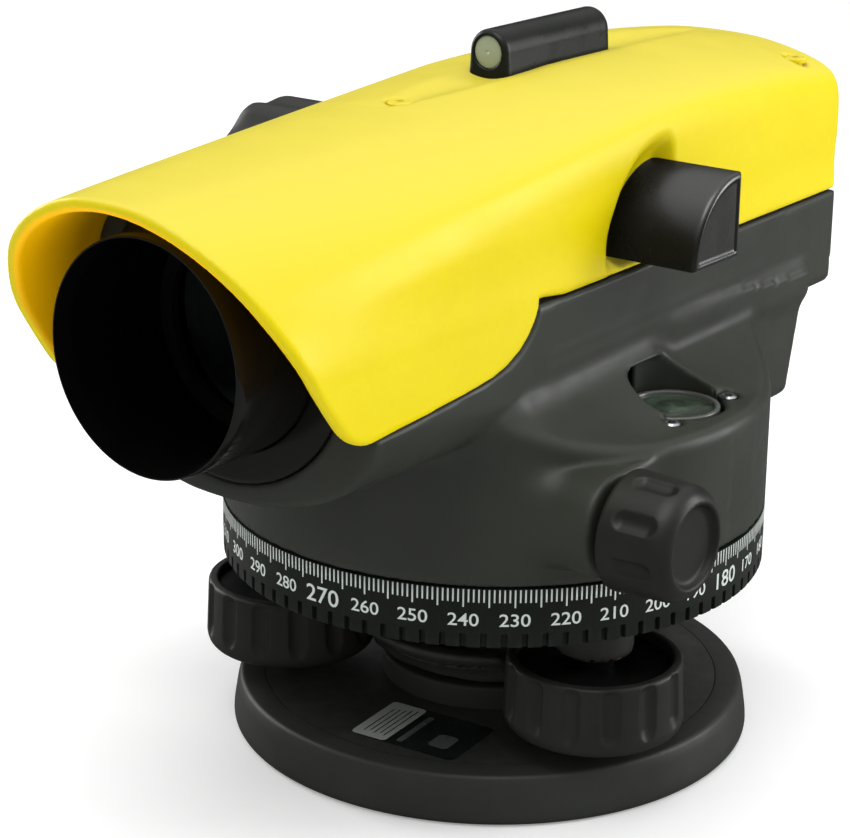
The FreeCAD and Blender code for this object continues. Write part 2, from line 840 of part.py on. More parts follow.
def hood_line(offset):
    """The region above the cover's lower edge, seen from the side, as a tool right across."""
    lip_top = number("dim.hood_lip_top") - offset
    lip_low = number("dim.hood_lip_low") - offset
    edge = number("dim.hood_edge_height") + offset
    parting = number("dim.parting") + offset
    notch = -number("dim.notch_forward") - offset
    rear = number("dim.rear_face") + 5
    high = number("dim.sight_top")
    peak = Vector(0, -lip_top - 3, number("dim.lip_peak"))
    foot = Vector(0, -lip_low, edge + 3)
    middle = Vector(0, offset - number("dim.lip_middle"), number("dim.lip_middle_height"))
    lip = Part.Arc(peak, middle, foot).toShape()
    corner = Part.Arc(foot, Vector(0, 1 - lip_low, edge + 0.7), Vector(0, 5 - lip_low, edge)).toShape()
    bend = -number("dim.swing_forward") - offset
    swing = Part.BSplineCurve()
    stations = [Vector(0, bend, edge), Vector(0, bend + 9, edge + 3.4), Vector(0, notch - 1.2, edge + 8)]
    swing.interpolate(stations, InitialTangent=Vector(0, 1, 0), FinalTangent=Vector(0, 0.5, 1))
    edges = [
        lip,
        corner,
        Part.makeLine(Vector(0, 5 - lip_low, edge), Vector(0, bend, edge)),
        swing.toShape(),
        Part.makeLine(Vector(0, notch - 1.2, edge + 8), Vector(0, notch, parting)),
        Part.makeLine(Vector(0, notch, parting), Vector(0, rear, parting)),
        Part.makeLine(Vector(0, rear, parting), Vector(0, rear, high)),
        Part.makeLine(Vector(0, rear, high), Vector(0, peak.y, high)),
        Part.makeLine(Vector(0, peak.y, high), peak),
    ]
    face = Part.Face(Part.Wire(edges))
    face.translate(Vector(-60, 0, 0))
    return face.extrude(Vector(120, 0, 0))


def body_section(y):
    """One closed section of the telescope body's lower half."""
    part = min(max((y + number("dim.front_face")) / 100, 0), 1)
    half = cover_half_width(y)
    low = blend(number("dim.belly_bottom"), number("dim.rear_bottom"), part)
    spring = number("dim.side_bottom") + 1
    power = 2 / blend(2.1, 4.5, part)
    steps = 16
    points = []
    for step in range(steps + 1):
        angle = math.pi * step / steps
        across = math.copysign(abs(math.cos(angle)) ** power, math.cos(angle))
        down = math.sin(angle) ** power
        points.append(Vector(half * across, y, spring - (spring - low) * down))
    belly = Part.BSplineCurve()
    belly.interpolate(points)
    top = number("dim.parting") + 6
    right = Vector(half, y, top)
    left = Vector(-half, y, top)
    edges = [
        Part.makeLine(right, points[0]),
        belly.toShape(),
        Part.makeLine(points[-1], left),
        Part.makeLine(left, right),
    ]
    return Part.Wire(edges)


def body_form():
    stations = [-number("dim.front_face"), -50, -22, 8, 42, number("dim.rear_face")]
    return Part.makeLoft([body_section(y) for y in stations], True, False)


def rounded_slab(half_width, rear, height, corner):
    """A plan outline with a straight front and rounded rear corners, at a height."""
    front = 10
    edges = [
        Part.makeLine(Vector(-half_width, front, height), Vector(half_width, front, height)),
        Part.makeLine(Vector(half_width, front, height), Vector(half_width, rear - corner, height)),
        Part.Arc(Vector(half_width, rear - corner, height),
                 Vector(half_width - 0.293 * corner, rear - 0.293 * corner, height),
                 Vector(half_width - corner, rear, height)).toShape(),
        Part.makeLine(Vector(half_width - corner, rear, height), Vector(corner - half_width, rear, height)),
        Part.Arc(Vector(corner - half_width, rear, height),
                 Vector(0.293 * corner - half_width, rear - 0.293 * corner, height),
                 Vector(-half_width, rear - corner, height)).toShape(),
        Part.makeLine(Vector(-half_width, rear - corner, height), Vector(-half_width, front, height)),
    ]
    return Part.Wire(edges)


def make_main_housing():
    """One shell: the drum below, the open-topped telescope body above and the bosses on it."""
    wall = number("dim.body_wall")
    drum = number("dim.drum_radius")
    low = number("dim.drum_bottom")
    deck = number("dim.deck_top")
    floor = deck - number("dim.deck_thick")
    front = number("dim.front_face")
    rear = number("dim.rear_face")
    parting = number("dim.parting")
    gap = number("dim.cover_gap")
    worm_line = Vector(0, -number("dim.drive_forward"), number("dim.drive_height"))
    focus_line = Vector(0, number("dim.focus_axis_rear"), number("dim.focus_axis_height"))
    sight_line = Vector(0, 0, number("dim.axis_height"))
    bubble = Vector(number("dim.bubble_side"), number("dim.bubble_rear"), 0)

    drum_form = Part.makeCylinder(drum, deck - low, Vector(0, 0, low))
    rim = [edge for edge in drum_form.Edges if edge.BoundBox.ZMin > deck - 0.01]
    drum_form = drum_form.makeFillet(2.5, rim)
    corner = number("dim.lobe_corner")
    lobe_foot = (number("dim.lobe_low_half_width"), number("dim.lobe_low_rear"), number("dim.lobe_bottom"))
    lobe_head = (number("dim.lobe_half_width"), number("dim.lobe_rear"), number("dim.rear_bottom") + 4)
    lobe = Part.makeLoft([rounded_slab(*lobe_foot, corner), rounded_slab(*lobe_head, corner)], True, True)
    above_line = hood_line(-gap)
    skirt = body_form().cut(above_line)
    inner = cover_form(number("dim.cover_wall") + gap, -front, rear - number("dim.cover_wall") - gap)
    below = block((-60, -front, number("dim.side_bottom") - 4), (60, rear, parting))
    face_plate = block((-60, -front, number("dim.side_bottom") - 4), (60, wall - front, 140))
    inner_body = inner.common(below.fuse(face_plate))
    neck_half = number("dim.neck_half_width")
    neck = block((-neck_half, 3 - drum, deck - 4), (neck_half, 40, number("dim.side_bottom") - 1))
    neck = neck.common(Part.makeCylinder(drum - 2, 200))
    boss = number("dim.drive_boss")
    boss_end = number("dim.drive_boss_end")
    shoulder_half = number("dim.drive_shoulder_half")
    shoulder_rear = number("dim.drive_shoulder_rear")
    shoulder = block((-boss_end, worm_line.y, worm_line.z - shoulder_half),
                     (boss_end, shoulder_rear, worm_line.z + shoulder_half))
    outside = joined([
        drum_form,
        lobe,
        neck,
        skirt,
        inner_body,
        rod(boss, -boss_end, boss_end, X_AXIS, worm_line),
        shoulder,
    ])

    drum_hollow = Part.makeCylinder(drum - number("dim.drum_wall"), floor - low + 1, Vector(0, 0, low - 1))
    hollow_sections = []
    for y in (wall - front, -40, 0, 40, rear - wall):
        part = min(max((y + front) / 100, 0), 1)
        half = cover_half_width(y) - wall - number("dim.cover_wall")
        bottom = blend(69.5, number("dim.rear_bottom") + wall, part)
        corner = blend(12, 5, part)
        hollow_sections.append(Part.makePolygon([
            Vector(half, y, 110), Vector(half, y, bottom + corner), Vector(half - corner, y, bottom),
            Vector(corner - half, y, bottom), Vector(-half, y, bottom + corner), Vector(-half, y, 110),
            Vector(half, y, 110),
        ]))
    hollow = Part.makeLoft(hollow_sections, True, True)
    tools = [
        hollow,
        rod(number("dim.shaft_radius") + 2, -60, 60, X_AXIS, worm_line),
        rod(number("dim.collar_radius"), -front - 1, wall + 1 - front, Y_AXIS, sight_line),
        rod(number("dim.bubble_radius") + 0.1, number("dim.bubble_bottom"), deck + 2, Z_AXIS, bubble),
        rod(number("dim.eyepiece_radius"), rear - wall - 1, rear + 2, Y_AXIS, sight_line),
        rod(number("dim.focus_boss") + gap / 2, -50, -15, X_AXIS, focus_line),
    ]
    for angle in (60, 180, 300):
        turn_to = Rotation(Z_AXIS, angle).multVec(Vector(number("dim.bubble_screw_circle"), 0, 0))
        hole = number("dim.bubble_screw_radius") + 0.1
        tools.append(Part.makeCylinder(hole, 10, bubble + turn_to + Vector(0, 0, floor - 3)))
    seat = number("dim.bubble_bottom") - 1.2
    bubble_boss = Part.makeCylinder(number("dim.bubble_boss"), floor - seat, bubble + Vector(0, 0, seat))
    bubble_boss = bubble_boss.common(Part.makeCylinder(drum - 1, 80))
    left_boss = rod(boss - 1, 1 - boss_end, -33, X_AXIS, worm_line)
    right_boss = rod(boss - 1, 33, boss_end - 1, X_AXIS, worm_line)
    shell = outside.cut(drum_hollow).fuse([bubble_boss, left_boss, right_boss]).cut(tools)
    shaped("main_housing", shell.removeSplitter())


def make_top_cover():
    """The yellow cover: one moulded shell whose front runs out into the hood."""
    wall = number("dim.cover_wall")
    lip = number("dim.hood_lip_top")
    rear = number("dim.rear_face")
    shell = cover_form(0, -lip - 2, rear).cut(cover_form(wall, -lip - 4, rear - wall))
    shell = shell.common(hood_line(0))
    focus_line = Vector(0, number("dim.focus_axis_rear"), number("dim.focus_axis_height"))
    axis = Vector(0, 0, number("dim.axis_height"))
    tools = [
        rod(number("dim.focus_boss") + number("dim.cover_gap") / 2, -50, -15, X_AXIS, focus_line),
        rod(number("dim.eyepiece_radius"), rear - wall - 1, rear + 2, Y_AXIS, axis),
    ]
    for across, along in cover_screw_places():
        top = cover_screw_top(across, along)
        tools.append(Part.makeCylinder(2.4, 20, Vector(across, along, top - 1.1)))
        tools.append(Part.makeCylinder(1.5, 20, Vector(across, along, top - 12)))
    shaped("top_cover", shell.cut(tools))


def cover_screw_places():
    """Across and along the telescope: one screw on the ridge and two at the rear."""
    rear = number("dim.cover_screw_rear")
    side = number("dim.cover_screw_side")
    return [(0, -number("dim.cover_screw_front")), (side, rear), (-side, rear)]


def cover_screw_top(across, along):
    """Height of the cover's skin over a screw."""
    points = cover_outline(along, 0)
    nearest = min(points, key=lambda point: abs(point.x - across) + (100 if point.z < 100 else 0))
    return nearest.z


def make_cover_screws():
    members = []
    for across, along in cover_screw_places():
        top = cover_screw_top(across, along) - 1.05
        members.append(turned("screw", [
            ("0", f"{top - 9}"),
            ("1.4", f"{top - 9}"),
            ("1.4", f"{top}"),
            ("2.2", f"{top}"),
            ("2.2", f"{top + 0.6}"),
            ("1.8", f"{top + 0.9}"),
            ("0.7", f"{top + 0.9}"),
            ("0.7", f"{top + 0.2}"),
            ("0", f"{top + 0.2}"),
        ], (str(across), str(along), "0")))
    grouped("cover_screws", members)


# ---------------------------------------------------------------- axis and closing plate


def make_spindle():
    turned("spindle", [
        ("0", "dim.hub_bottom + 3.4"),
        ("dim.spindle_radius - 0.6", "dim.hub_bottom + 3.4"),
        ("dim.spindle_radius", "dim.hub_bottom + 4"),
        ("dim.spindle_radius", "dim.sleeve_top + 1"),
        ("dim.spindle_flange", "dim.sleeve_top + 1"),
        ("dim.spindle_flange", "dim.deck_top - dim.deck_thick"),
        ("0", "dim.deck_top - dim.deck_thick"),
    ])
    body = tube("bottom_cover", "dim.drum_radius - dim.drum_wall - 0.1", "dim.sleeve_radius + 1.5",
                "dim.drum_bottom + 0.2", "dim.drum_bottom + 0.2 + dim.cover_plate")
    across = "dim.housing_screw_circle"
    radius = "dim.housing_screw_radius"
    low = "dim.drum_bottom"
    hole = cut(body, lambda sketch: circle(sketch, across, "0", f"{radius} + 0.1"), "5", lift=f"{low} - 1")
    repeat(body, hole, "4")
    members = []
    for angle in (0, 90, 180, 270):
        members.append(disc("screw", radius, f"{low} + 0.3", f"{low} + 5", around(across, angle)))
        members.append(disc("screw", radius, "dim.sleeve_top + 0.1", "dim.sleeve_top + 1",
                            around("dim.spindle_screw_circle", angle + 45)))
    grouped("housing_screws", members)


# ---------------------------------------------------------------- telescope optics


def on_axis(label, outer, inner, front, rear):
    """A ring or tube on the line of sight between two distances from the vertical axis."""
    return tube(label, outer, inner, front, rear, ("0", "0", "dim.axis_height"), ALONG_Y)


def make_objective():
    bore = "dim.tube_radius - dim.tube_wall"
    turned("objective_tube", [
        (bore, "-dim.tube_front"),
        ("dim.tube_radius", "-dim.tube_front"),
        ("dim.tube_radius", "-dim.tube_rear"),
        (bore, "-dim.tube_rear"),
        (bore, "-dim.lens_seat"),
        ("dim.lens_radius + 0.03", "-dim.lens_seat"),
        ("dim.lens_radius + 0.03", "-dim.lens_front"),
        (bore, "-dim.lens_front"),
    ], ("0", "0", "dim.axis_height"), ALONG_Y)
    turned("objective_collar", [
        ("dim.tube_radius + 0.05", "-dim.front_face - 0.6"),
        ("dim.collar_radius - 0.8", "-dim.front_face - 0.6"),
        ("dim.collar_radius - 0.05", "-dim.front_face + 0.2"),
        ("dim.collar_radius - 0.05", "-dim.front_face + dim.body_wall"),
        ("22", "-dim.front_face + dim.body_wall"),
        ("22", "-dim.front_face + 9"),
        ("dim.tube_radius + 0.05", "-dim.front_face + 9"),
    ], ("0", "0", "dim.axis_height"), ALONG_Y)
    on_axis("objective_retaining_ring", f"{bore} - 0.02", "dim.lens_radius - 1.8",
            "-dim.lens_front - 1.6", "-dim.lens_front - 0.02")
    lens("objective_crown_lens", "dim.lens_radius", "3.6", "-dim.lens_front + 0.6", 2.2, 1.8)
    lens("objective_flint_lens", "dim.lens_radius", "2.6", "-dim.lens_front + 6.3", -1.7, 0.6)


def make_focusing():
    """The focusing lens in its carriage, moved along the guide tube by a rack and pinion."""
    guide = turned("focus_guide_tube", [
        ("dim.carriage_radius + 0.05", "-dim.guide_front"),
        ("dim.tube_radius - dim.tube_wall - 0.02", "-dim.guide_front"),
        ("dim.tube_radius - dim.tube_wall - 0.02", "-dim.tube_rear"),
        ("dim.carriage_radius + dim.guide_wall", "-dim.tube_rear"),
        ("dim.carriage_radius + dim.guide_wall", "-dim.guide_rear"),
        ("dim.carriage_radius + 0.05", "-dim.guide_rear"),
    ], ("0", "0", "dim.axis_height"), ALONG_Y)
    slot = primitive("Box", ("-20", "-52", "dim.axis_height - 5"), Length="8", Width="50", Height="5.2")
    carved("focus_guide_tube", guide, [slot])
    front = "-dim.carriage_centre - dim.carriage_length / 2"
    rear = "-dim.carriage_centre + dim.carriage_length / 2"
    on_axis("focus_carriage", "dim.carriage_radius", "11.2", front, rear)
    lens("focusing_lens", "11.15", "2.4", "-dim.carriage_centre - 1.2", -0.9, -0.6)

    module = number("dim.pinion_module")
    teeth = int(number("dim.pinion_teeth"))
    pitch = math.pi * module
    pitch_line = number("dim.focus_axis_height") - module * teeth / 2
    centre = number("dim.focus_axis_rear")
    inner = -number("dim.rack_inner")
    outer = -number("dim.rack_outer")
    carriage = number("dim.carriage_radius") + 0.01
    bar = block((outer, -36, pitch_line - 4), (inner, 20, pitch_line - 1.25 * module))
    arm = block((inner - 0.1, -35, pitch_line - 4), (-carriage - 0.01, -25, pitch_line - 1.6))
    arm = arm.cut(rod(carriage, -60, 60, Y_AXIS, Vector(0, 0, number("dim.axis_height"))))
    rack_teeth = []
    for index in range(-11, 11):
        middle = centre + index * pitch
        corners = [
            Vector(outer, middle - 0.28 * pitch, pitch_line - 1.3 * module),
            Vector(outer, middle - 0.1 * pitch, pitch_line + 0.8 * module),
            Vector(outer, middle + 0.1 * pitch, pitch_line + 0.8 * module),
            Vector(outer, middle + 0.28 * pitch, pitch_line - 1.3 * module),
        ]
        face = Part.Face(Part.makePolygon(corners + corners[:1]))
        rack_teeth.append(face.extrude(Vector(inner - outer, 0, 0)))
    shaped("focus_rack", joined([bar, arm] + rack_teeth))

    line = ("0", "dim.focus_axis_rear", "dim.focus_axis_height")
    pinion = toothed(teeth, module, 2.7, 1.5)
    stub = Part.makeCylinder(1.6, 6, Vector(0, 0, -2.4))
    shaft_end = number("dim.focus_knob_end") - 5
    start = -0.2 - outer
    shaft = Part.makeCylinder(number("dim.shaft_radius"), shaft_end + outer, Vector(0, 0, start - shaft_end))
    position = ("0.2 - dim.rack_outer", "dim.focus_axis_rear", "dim.focus_axis_height")
    shaped("focus_pinion_shaft", joined([pinion, stub, shaft]), position, ALONG_X)
    tube("focus_gland", "dim.focus_boss", "dim.shaft_radius + dim.running_gap", "24", "dim.focus_boss_end",
         line, ALONG_MINUS_X)
    knob = turned("focus_knob", [
        ("dim.shaft_radius", "dim.focus_knob_start"),
        ("dim.focus_knob_radius - 1.5", "dim.focus_knob_start"),
        ("dim.focus_knob_radius", "dim.focus_knob_start + 1.5"),
        ("dim.focus_knob_radius", "dim.focus_knob_end - 5"),
        ("dim.focus_knob_radius - 1.6", "dim.focus_knob_end - 0.8"),
        ("dim.focus_knob_radius - 3", "dim.focus_knob_end"),
        ("0", "dim.focus_knob_end"),
        ("0", "dim.focus_knob_end - dim.knob_pin_depth"),
        ("dim.shaft_radius", "dim.focus_knob_end - dim.knob_pin_depth"),
    ], line, ALONG_MINUS_X)
    across = "dim.focus_knob_radius + dim.focus_lobe_radius - dim.focus_lobe_depth"
    scallop = cut(knob, lambda sketch: circle(sketch, across, "0", "dim.focus_lobe_radius"), "30",
                  lift="dim.focus_knob_start + 3")
    repeat(knob, scallop, "dim.focus_lobes")


def prism(half_width, *corners):
    """A prism shape across the telescope, from corners given as distance rearward and height."""
    points = [Vector(-half_width, along, up) for along, up in corners]
    return Part.Face(Part.makePolygon(points + points[:1])).extrude(Vector(2 * half_width, 0, 0))


def make_compensator():
    """A pendulum prism hung between two fixed prisms, damped by a magnet below it."""
    half = number("dim.frame_half_width")
    front = number("dim.frame_front")
    rear = number("dim.frame_rear")
    low = number("dim.frame_bottom")
    high = number("dim.frame_top")
    wall = number("dim.frame_wall")
    roof = high - wall - 1
    centre = number("dim.pendulum_centre")
    axis = number("dim.axis_height")
    frame = block((-half, front, low), (half, rear, high))
    window = block((wall - half, front - 1, low + wall + 0.4), (half - wall, rear + 1, roof))
    opening = block((-5, centre - 12, roof - 1), (5, centre + 12, high + 1))
    frame = frame.cut([window, opening])

    wide = number("dim.prism_half_width")
    tall = number("dim.prism_half_height")
    prisms = []
    for back, tip in ((front + 7, front + 1), (rear - 7, rear - 1)):
        prisms.append(prism(wide, (back, axis - tall), (back, axis + tall), (tip, axis)))
        near, far = sorted((back, tip))
        frame = frame.fuse(block((2 - half, near, low + wall), (half - 2, far, axis - tall - 0.02)))
    shaped("compensator_frame", frame.removeSplitter())
    shaped("fixed_prisms", Part.makeCompound(prisms))

    side = number("dim.pendulum_half_width")
    length = number("dim.pendulum_half_length")
    bottom = number("dim.pendulum_bottom")
    top = number("dim.pendulum_top")
    inside = side - 2
    seat = bottom + 3
    apex = seat + 10
    pendulum = block((-side, centre - length, bottom), (side, centre + length, top))
    inner = block((-inside, centre - length - 1, seat - 0.1), (inside, centre + length + 1, apex))
    pendulum = pendulum.cut(inner)
    thick = number("dim.vane_half_thick")
    magnet_bottom = low + wall + 0.42
    vane = block((-6, centre - thick, magnet_bottom + 1.4), (6, centre + thick, bottom + 0.1))
    shaped("pendulum", pendulum.fuse(vane))
    roof_prism = prism(inside - 0.1, (centre - 5.5, seat), (centre + 5.5, seat), (centre, apex - 0.2))
    shaped("pendulum_prism", roof_prism)

    tapes = []
    tape_top = number("dim.tape_top")
    for across in (0.9 - side, side - 2.1):
        for along in (centre - 5.6, centre + 5.4):
            tapes.append(block((across, along, top + 0.02), (across + 1.2, along + 0.15, tape_top)))
    shaped("suspension_tapes", Part.makeCompound(tapes))
    near = number("dim.magnet_gap")
    far = near + number("dim.magnet_thick")
    magnets = [
        block((-6, centre - far, magnet_bottom), (6, centre - near, magnet_bottom + 4)),
        block((-6, centre + near, magnet_bottom), (6, centre + far, magnet_bottom + 4)),
    ]
    shaped("damper_magnets", Part.makeCompound(magnets))


def make_eyepiece():
    """The reticle, the eyepiece tube, its focusing ring and the lens cell that it moves."""
    on_axis("reticle_mount", "dim.eyepiece_radius + 2", "dim.cell_bore - 0.1", "dim.reticle_front",
            "dim.eyepiece_front")
    turned("eyepiece_tube", [
        ("dim.eyepiece_radius - 1.5", "dim.eyepiece_front + 0.02"),
        ("dim.eyepiece_radius - 0.02", "dim.eyepiece_front + 0.02"),
        ("dim.eyepiece_radius - 0.02", "dim.rear_face + 0.05"),
        ("dim.eyepiece_flange", "dim.rear_face + 0.05"),
        ("dim.eyepiece_flange", "dim.rear_face + 2.4"),
        ("dim.eyepiece_radius - 0.02", "dim.rear_face + 2.4"),
        ("dim.eyepiece_radius - 0.02", "dim.eyepiece_end"),
        ("dim.eyepiece_radius - 1.5", "dim.eyepiece_end"),
    ], ("0", "0", "dim.axis_height"), ALONG_Y)
    disc("reticle_glass", "dim.cell_bore - 0.15", "dim.reticle_front + 0.8", "dim.reticle_front + 2.4",
         ("0", "0", "dim.axis_height"), ALONG_Y)
    ring = turned("eyepiece_ring", [
        ("dim.eyepiece_radius + 0.05", "dim.rear_face + 2.7"),
        ("dim.eyepiece_ring_radius - 0.6", "dim.rear_face + 2.7"),
        ("dim.eyepiece_ring_radius", "dim.rear_face + 3.3"),
        ("dim.eyepiece_ring_radius", "dim.eyepiece_rear - 6"),
        ("dim.eyepiece_ring_radius - 1.4", "dim.eyepiece_rear - 3.5"),
        ("dim.eyepiece_radius - 1.4", "dim.eyepiece_rear - 3.5"),
        ("dim.eyepiece_radius - 1.4", "dim.eyepiece_end + 0.4"),
        ("dim.eyepiece_radius + 0.05", "dim.eyepiece_end + 0.4"),
    ], ("0", "0", "dim.axis_height"), ALONG_Y)
    groove = cut(ring, lambda sketch: circle(sketch, "dim.eyepiece_ring_radius + 0.5", "0", "1.1"), "8",
                 lift="dim.rear_face + 4.5")
    repeat(ring, groove, "dim.eyepiece_grooves")
    on_axis("eye_cup", "dim.eyepiece_ring_radius - 1.6", "dim.eyepiece_radius - 1.3",
            "dim.eyepiece_rear - 3.48", "dim.eyepiece_rear")
    on_axis("eyepiece_cell", "dim.eyepiece_radius - 1.55", "dim.cell_bore", "dim.cell_front",
            "dim.eyepiece_rear - 4.6")
    lens("field_lens", "dim.cell_bore - 0.05", "2.6", "dim.cell_front + 2", 1.4, 0.5)
    lens("eye_lens", "dim.cell_bore - 0.05", "2.8", "dim.eyepiece_end - 0.4", 0.6, 1.5)


# ---------------------------------------------------------------- circular level, mirror and sight


def make_circular_level():
    centre = ("dim.bubble_side", "dim.bubble_rear", "0")
    turned("circular_level_housing", [
        ("0", "dim.bubble_bottom + 0.02"),
        ("dim.bubble_radius", "dim.bubble_bottom + 0.02"),
        ("dim.bubble_radius", "dim.bubble_top"),
        ("dim.bubble_radius - 1", "dim.bubble_top"),
        ("dim.bubble_radius - 1", "dim.bubble_bottom + 1.2"),
        ("0", "dim.bubble_bottom + 1.2"),
    ], centre)
    disc("circular_level_vial", "dim.bubble_radius - 1.05", "dim.bubble_bottom + 1.22",
         "dim.bubble_top - 0.4", centre)
    members = []
    for angle in (60, 180, 300):
        members.append(turned("screw", [
            ("0", "dim.deck_top - 6"),
            ("dim.bubble_screw_radius", "dim.deck_top - 6"),
            ("dim.bubble_screw_radius", "dim.deck_top - 0.8"),
            ("1.2", "dim.deck_top - 0.5"),
            ("0.7", "dim.deck_top - 0.5"),
            ("0.7", "dim.deck_top - 1.8"),
            ("0", "dim.deck_top - 1.8"),
        ], (f"dim.bubble_side + dim.bubble_screw_circle * cos({angle})",
            f"dim.bubble_rear + dim.bubble_screw_circle * sin({angle})", "0")))
    grouped("circular_level_screws", members)


def make_mirror():
    """The hooded mirror that shows the circular level to an observer at the eyepiece."""
    low = number("dim.mirror_bottom")
    high = number("dim.mirror_top")
    rear = number("dim.mirror_rear")
    front = -number("dim.mirror_front")
    inner = number("dim.mirror_inner") - 4
    outer = number("dim.mirror_outer")
    sweep = 0.3
    edges = [
        Part.makeLine(Vector(inner, rear, high), Vector(inner, rear, low)),
        Part.makeLine(Vector(inner, rear, low), Vector(inner, front, low)),
        Part.Arc(Vector(inner, front, low),
                 Vector(inner, front + sweep * (rear - front), low + 0.74 * (high - low)),
                 Vector(inner, rear, high)).toShape(),
    ]
    solid = Part.Face(Part.Wire(edges)).extrude(Vector(outer - inner, 0, 0))
    outline_edges = [edge for edge in solid.Edges if edge.BoundBox.XMin > outer - 0.01]
    solid = solid.makeFillet(0.8, outline_edges)
    skin = cover_form(-0.05, -30, 40)
    side = inner + 5.5
    room = block((side, front + 5, low + 1.2), (outer - 1.6, rear - 0.9, low + 7.2))
    shaped("mirror_housing", solid.cut([skin, room]))
    corners = [
        Vector(side + 0.1, front + 5.3, low + 5.9),
        Vector(side + 0.1, front + 5.9, low + 6.5),
        Vector(side + 0.1, front + 10.4, low + 2.0),
        Vector(side + 0.1, front + 9.8, low + 1.4),
    ]
    plate = Part.Face(Part.makePolygon(corners + corners[:1])).extrude(Vector(outer - side - 1.8, 0, 0))
    shaped("mirror_glass", plate)


def make_sight():
    """The open sight on the ridge, with a window at the front and a lens at the rear."""
    half = number("dim.sight_half_width")
    front = -number("dim.sight_front")
    rear = number("dim.sight_rear")
    low = number("dim.sight_base")
    top = number("dim.sight_top")
    spring = top - half
    edges = [
        Part.makeLine(Vector(-half - 0.4, front, low), Vector(-half, front, spring)),
        Part.Arc(Vector(-half, front, spring), Vector(0, front, top), Vector(half, front, spring)).toShape(),
        Part.makeLine(Vector(half, front, spring), Vector(half + 0.4, front, low)),
        Part.makeLine(Vector(half + 0.4, front, low), Vector(-half - 0.4, front, low)),
    ]
    solid = Part.Face(Part.Wire(edges)).extrude(Vector(0, rear - front, 0))
    ends = [edge for edge in solid.Edges
            if edge.BoundBox.YLength < 0.01 and edge.BoundBox.ZMax > low + 1]
    solid = solid.makeFillet(0.7, ends)
    skin = cover_form(-0.05, -30, 60)
    bore_line = Vector(0, 0, top - 3.9)
    solid = solid.cut([skin, rod(2.7, front - 1, rear + 1, Y_AXIS, bore_line)])
    shaped("sight_body", solid)
    windows = [rod(2.65, end, end + 1.2, Y_AXIS, bore_line) for end in (front + 0.4, rear - 1.6)]
    shaped("sight_windows", Part.makeCompound(windows))


# ---------------------------------------------------------------- assembly and export

make_base_plate()
make_spring_plate()
make_spring_plate_screws()
make_base_label()
for screw_name, screw_angle in foot_angles().items():
    make_foot_screw(screw_name, screw_angle)
make_levelling_head()
make_head_fittings()
make_horizontal_circle()
make_worm_wheel()
make_worm_drive()
make_main_housing()
make_top_cover()
make_cover_screws()
make_spindle()
make_objective()
make_focusing()
make_compensator()
make_eyepiece()
make_circular_level()
make_mirror()
make_sight()
doc.recompute()

failed = [item.Label for item in doc.Objects if "Invalid" in item.State or "Error" in item.State]
unsound = [item.Label for item in parts
           if item.Shape.isNull() or not item.Shape.isValid() or not item.Shape.Solids]
if failed or unsound:
    raise RuntimeError(f"failed objects {failed}, pieces without a sound solid {unsound}")

os.makedirs("parts", exist_ok=True)
for item in parts:
    item.Shape.exportStep(f"parts/{item.Label}.step")
    print(item.Label, len(item.Shape.Solids), round(item.Shape.Volume, 1))
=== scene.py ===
"""Looks of the automatic level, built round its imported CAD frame.

Every shape is worked out in millimetres in the frame of the CAD model and stored in metres.
Moulded and cast pieces are level sets: a field that is negative inside the piece, meshed where
it is zero, so that bosses, bodies and pockets run into each other with real fillets.
"""

import json
import math

import bmesh
import bpy
import numpy as np
from mathutils import Matrix, Vector


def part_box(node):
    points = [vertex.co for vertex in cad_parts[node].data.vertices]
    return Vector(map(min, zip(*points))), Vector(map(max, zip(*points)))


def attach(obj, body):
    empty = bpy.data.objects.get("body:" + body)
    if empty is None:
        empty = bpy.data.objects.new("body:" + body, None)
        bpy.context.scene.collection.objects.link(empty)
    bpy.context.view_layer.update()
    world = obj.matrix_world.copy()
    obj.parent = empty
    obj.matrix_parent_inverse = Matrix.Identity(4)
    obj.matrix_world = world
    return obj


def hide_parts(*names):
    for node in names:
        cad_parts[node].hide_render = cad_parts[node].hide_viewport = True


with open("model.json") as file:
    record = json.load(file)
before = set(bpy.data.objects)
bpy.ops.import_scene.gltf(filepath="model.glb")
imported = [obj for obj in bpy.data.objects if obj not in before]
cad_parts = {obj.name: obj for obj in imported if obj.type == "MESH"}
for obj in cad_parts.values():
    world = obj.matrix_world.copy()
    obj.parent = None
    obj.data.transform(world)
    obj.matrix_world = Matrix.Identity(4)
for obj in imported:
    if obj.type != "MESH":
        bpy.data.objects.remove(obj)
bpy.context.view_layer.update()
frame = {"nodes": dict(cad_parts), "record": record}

MM = 0.001
NODES = frame["nodes"]


def low_high(node):
    """The CAD node's lowest and highest corners in millimetres."""
    low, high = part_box(node)
    return np.array(low) / MM, np.array(high) / MM


# ---- sizes taken from the frame

RING_HIGH = low_high("horizontal_circle")[1]
RING_RADIUS = RING_HIGH[0]
TUBE_LOW, TUBE_HIGH = low_high("objective_tube")
AXIS_HEIGHT = (TUBE_LOW[2] + TUBE_HIGH[2]) / 2
TUBE_RADIUS = (TUBE_HIGH[0] - TUBE_LOW[0]) / 2
BODY_LOW, BODY_HIGH = low_high("main_housing")
REAR_FACE = BODY_HIGH[1]
FRONT_FACE = BODY_LOW[1]
PARTING = 92.0  # height where the cover's lower edge meets the housing
DRUM_RADIUS = 50.0
DRUM_BOTTOM = BODY_LOW[2]
DECK_LOW = 68.1
BASE_HIGH = low_high("base_plate")[1]
VIAL_LOW, VIAL_HIGH = low_high("circular_level_housing")
VIAL_X = (VIAL_LOW[0] + VIAL_HIGH[0]) / 2
VIAL_Y = (VIAL_LOW[1] + VIAL_HIGH[1]) / 2
DRIVE_Y = sum(v[1] for v in low_high("worm_shaft")) / 2
DRIVE_Z = sum(v[2] for v in low_high("worm_shaft")) / 2
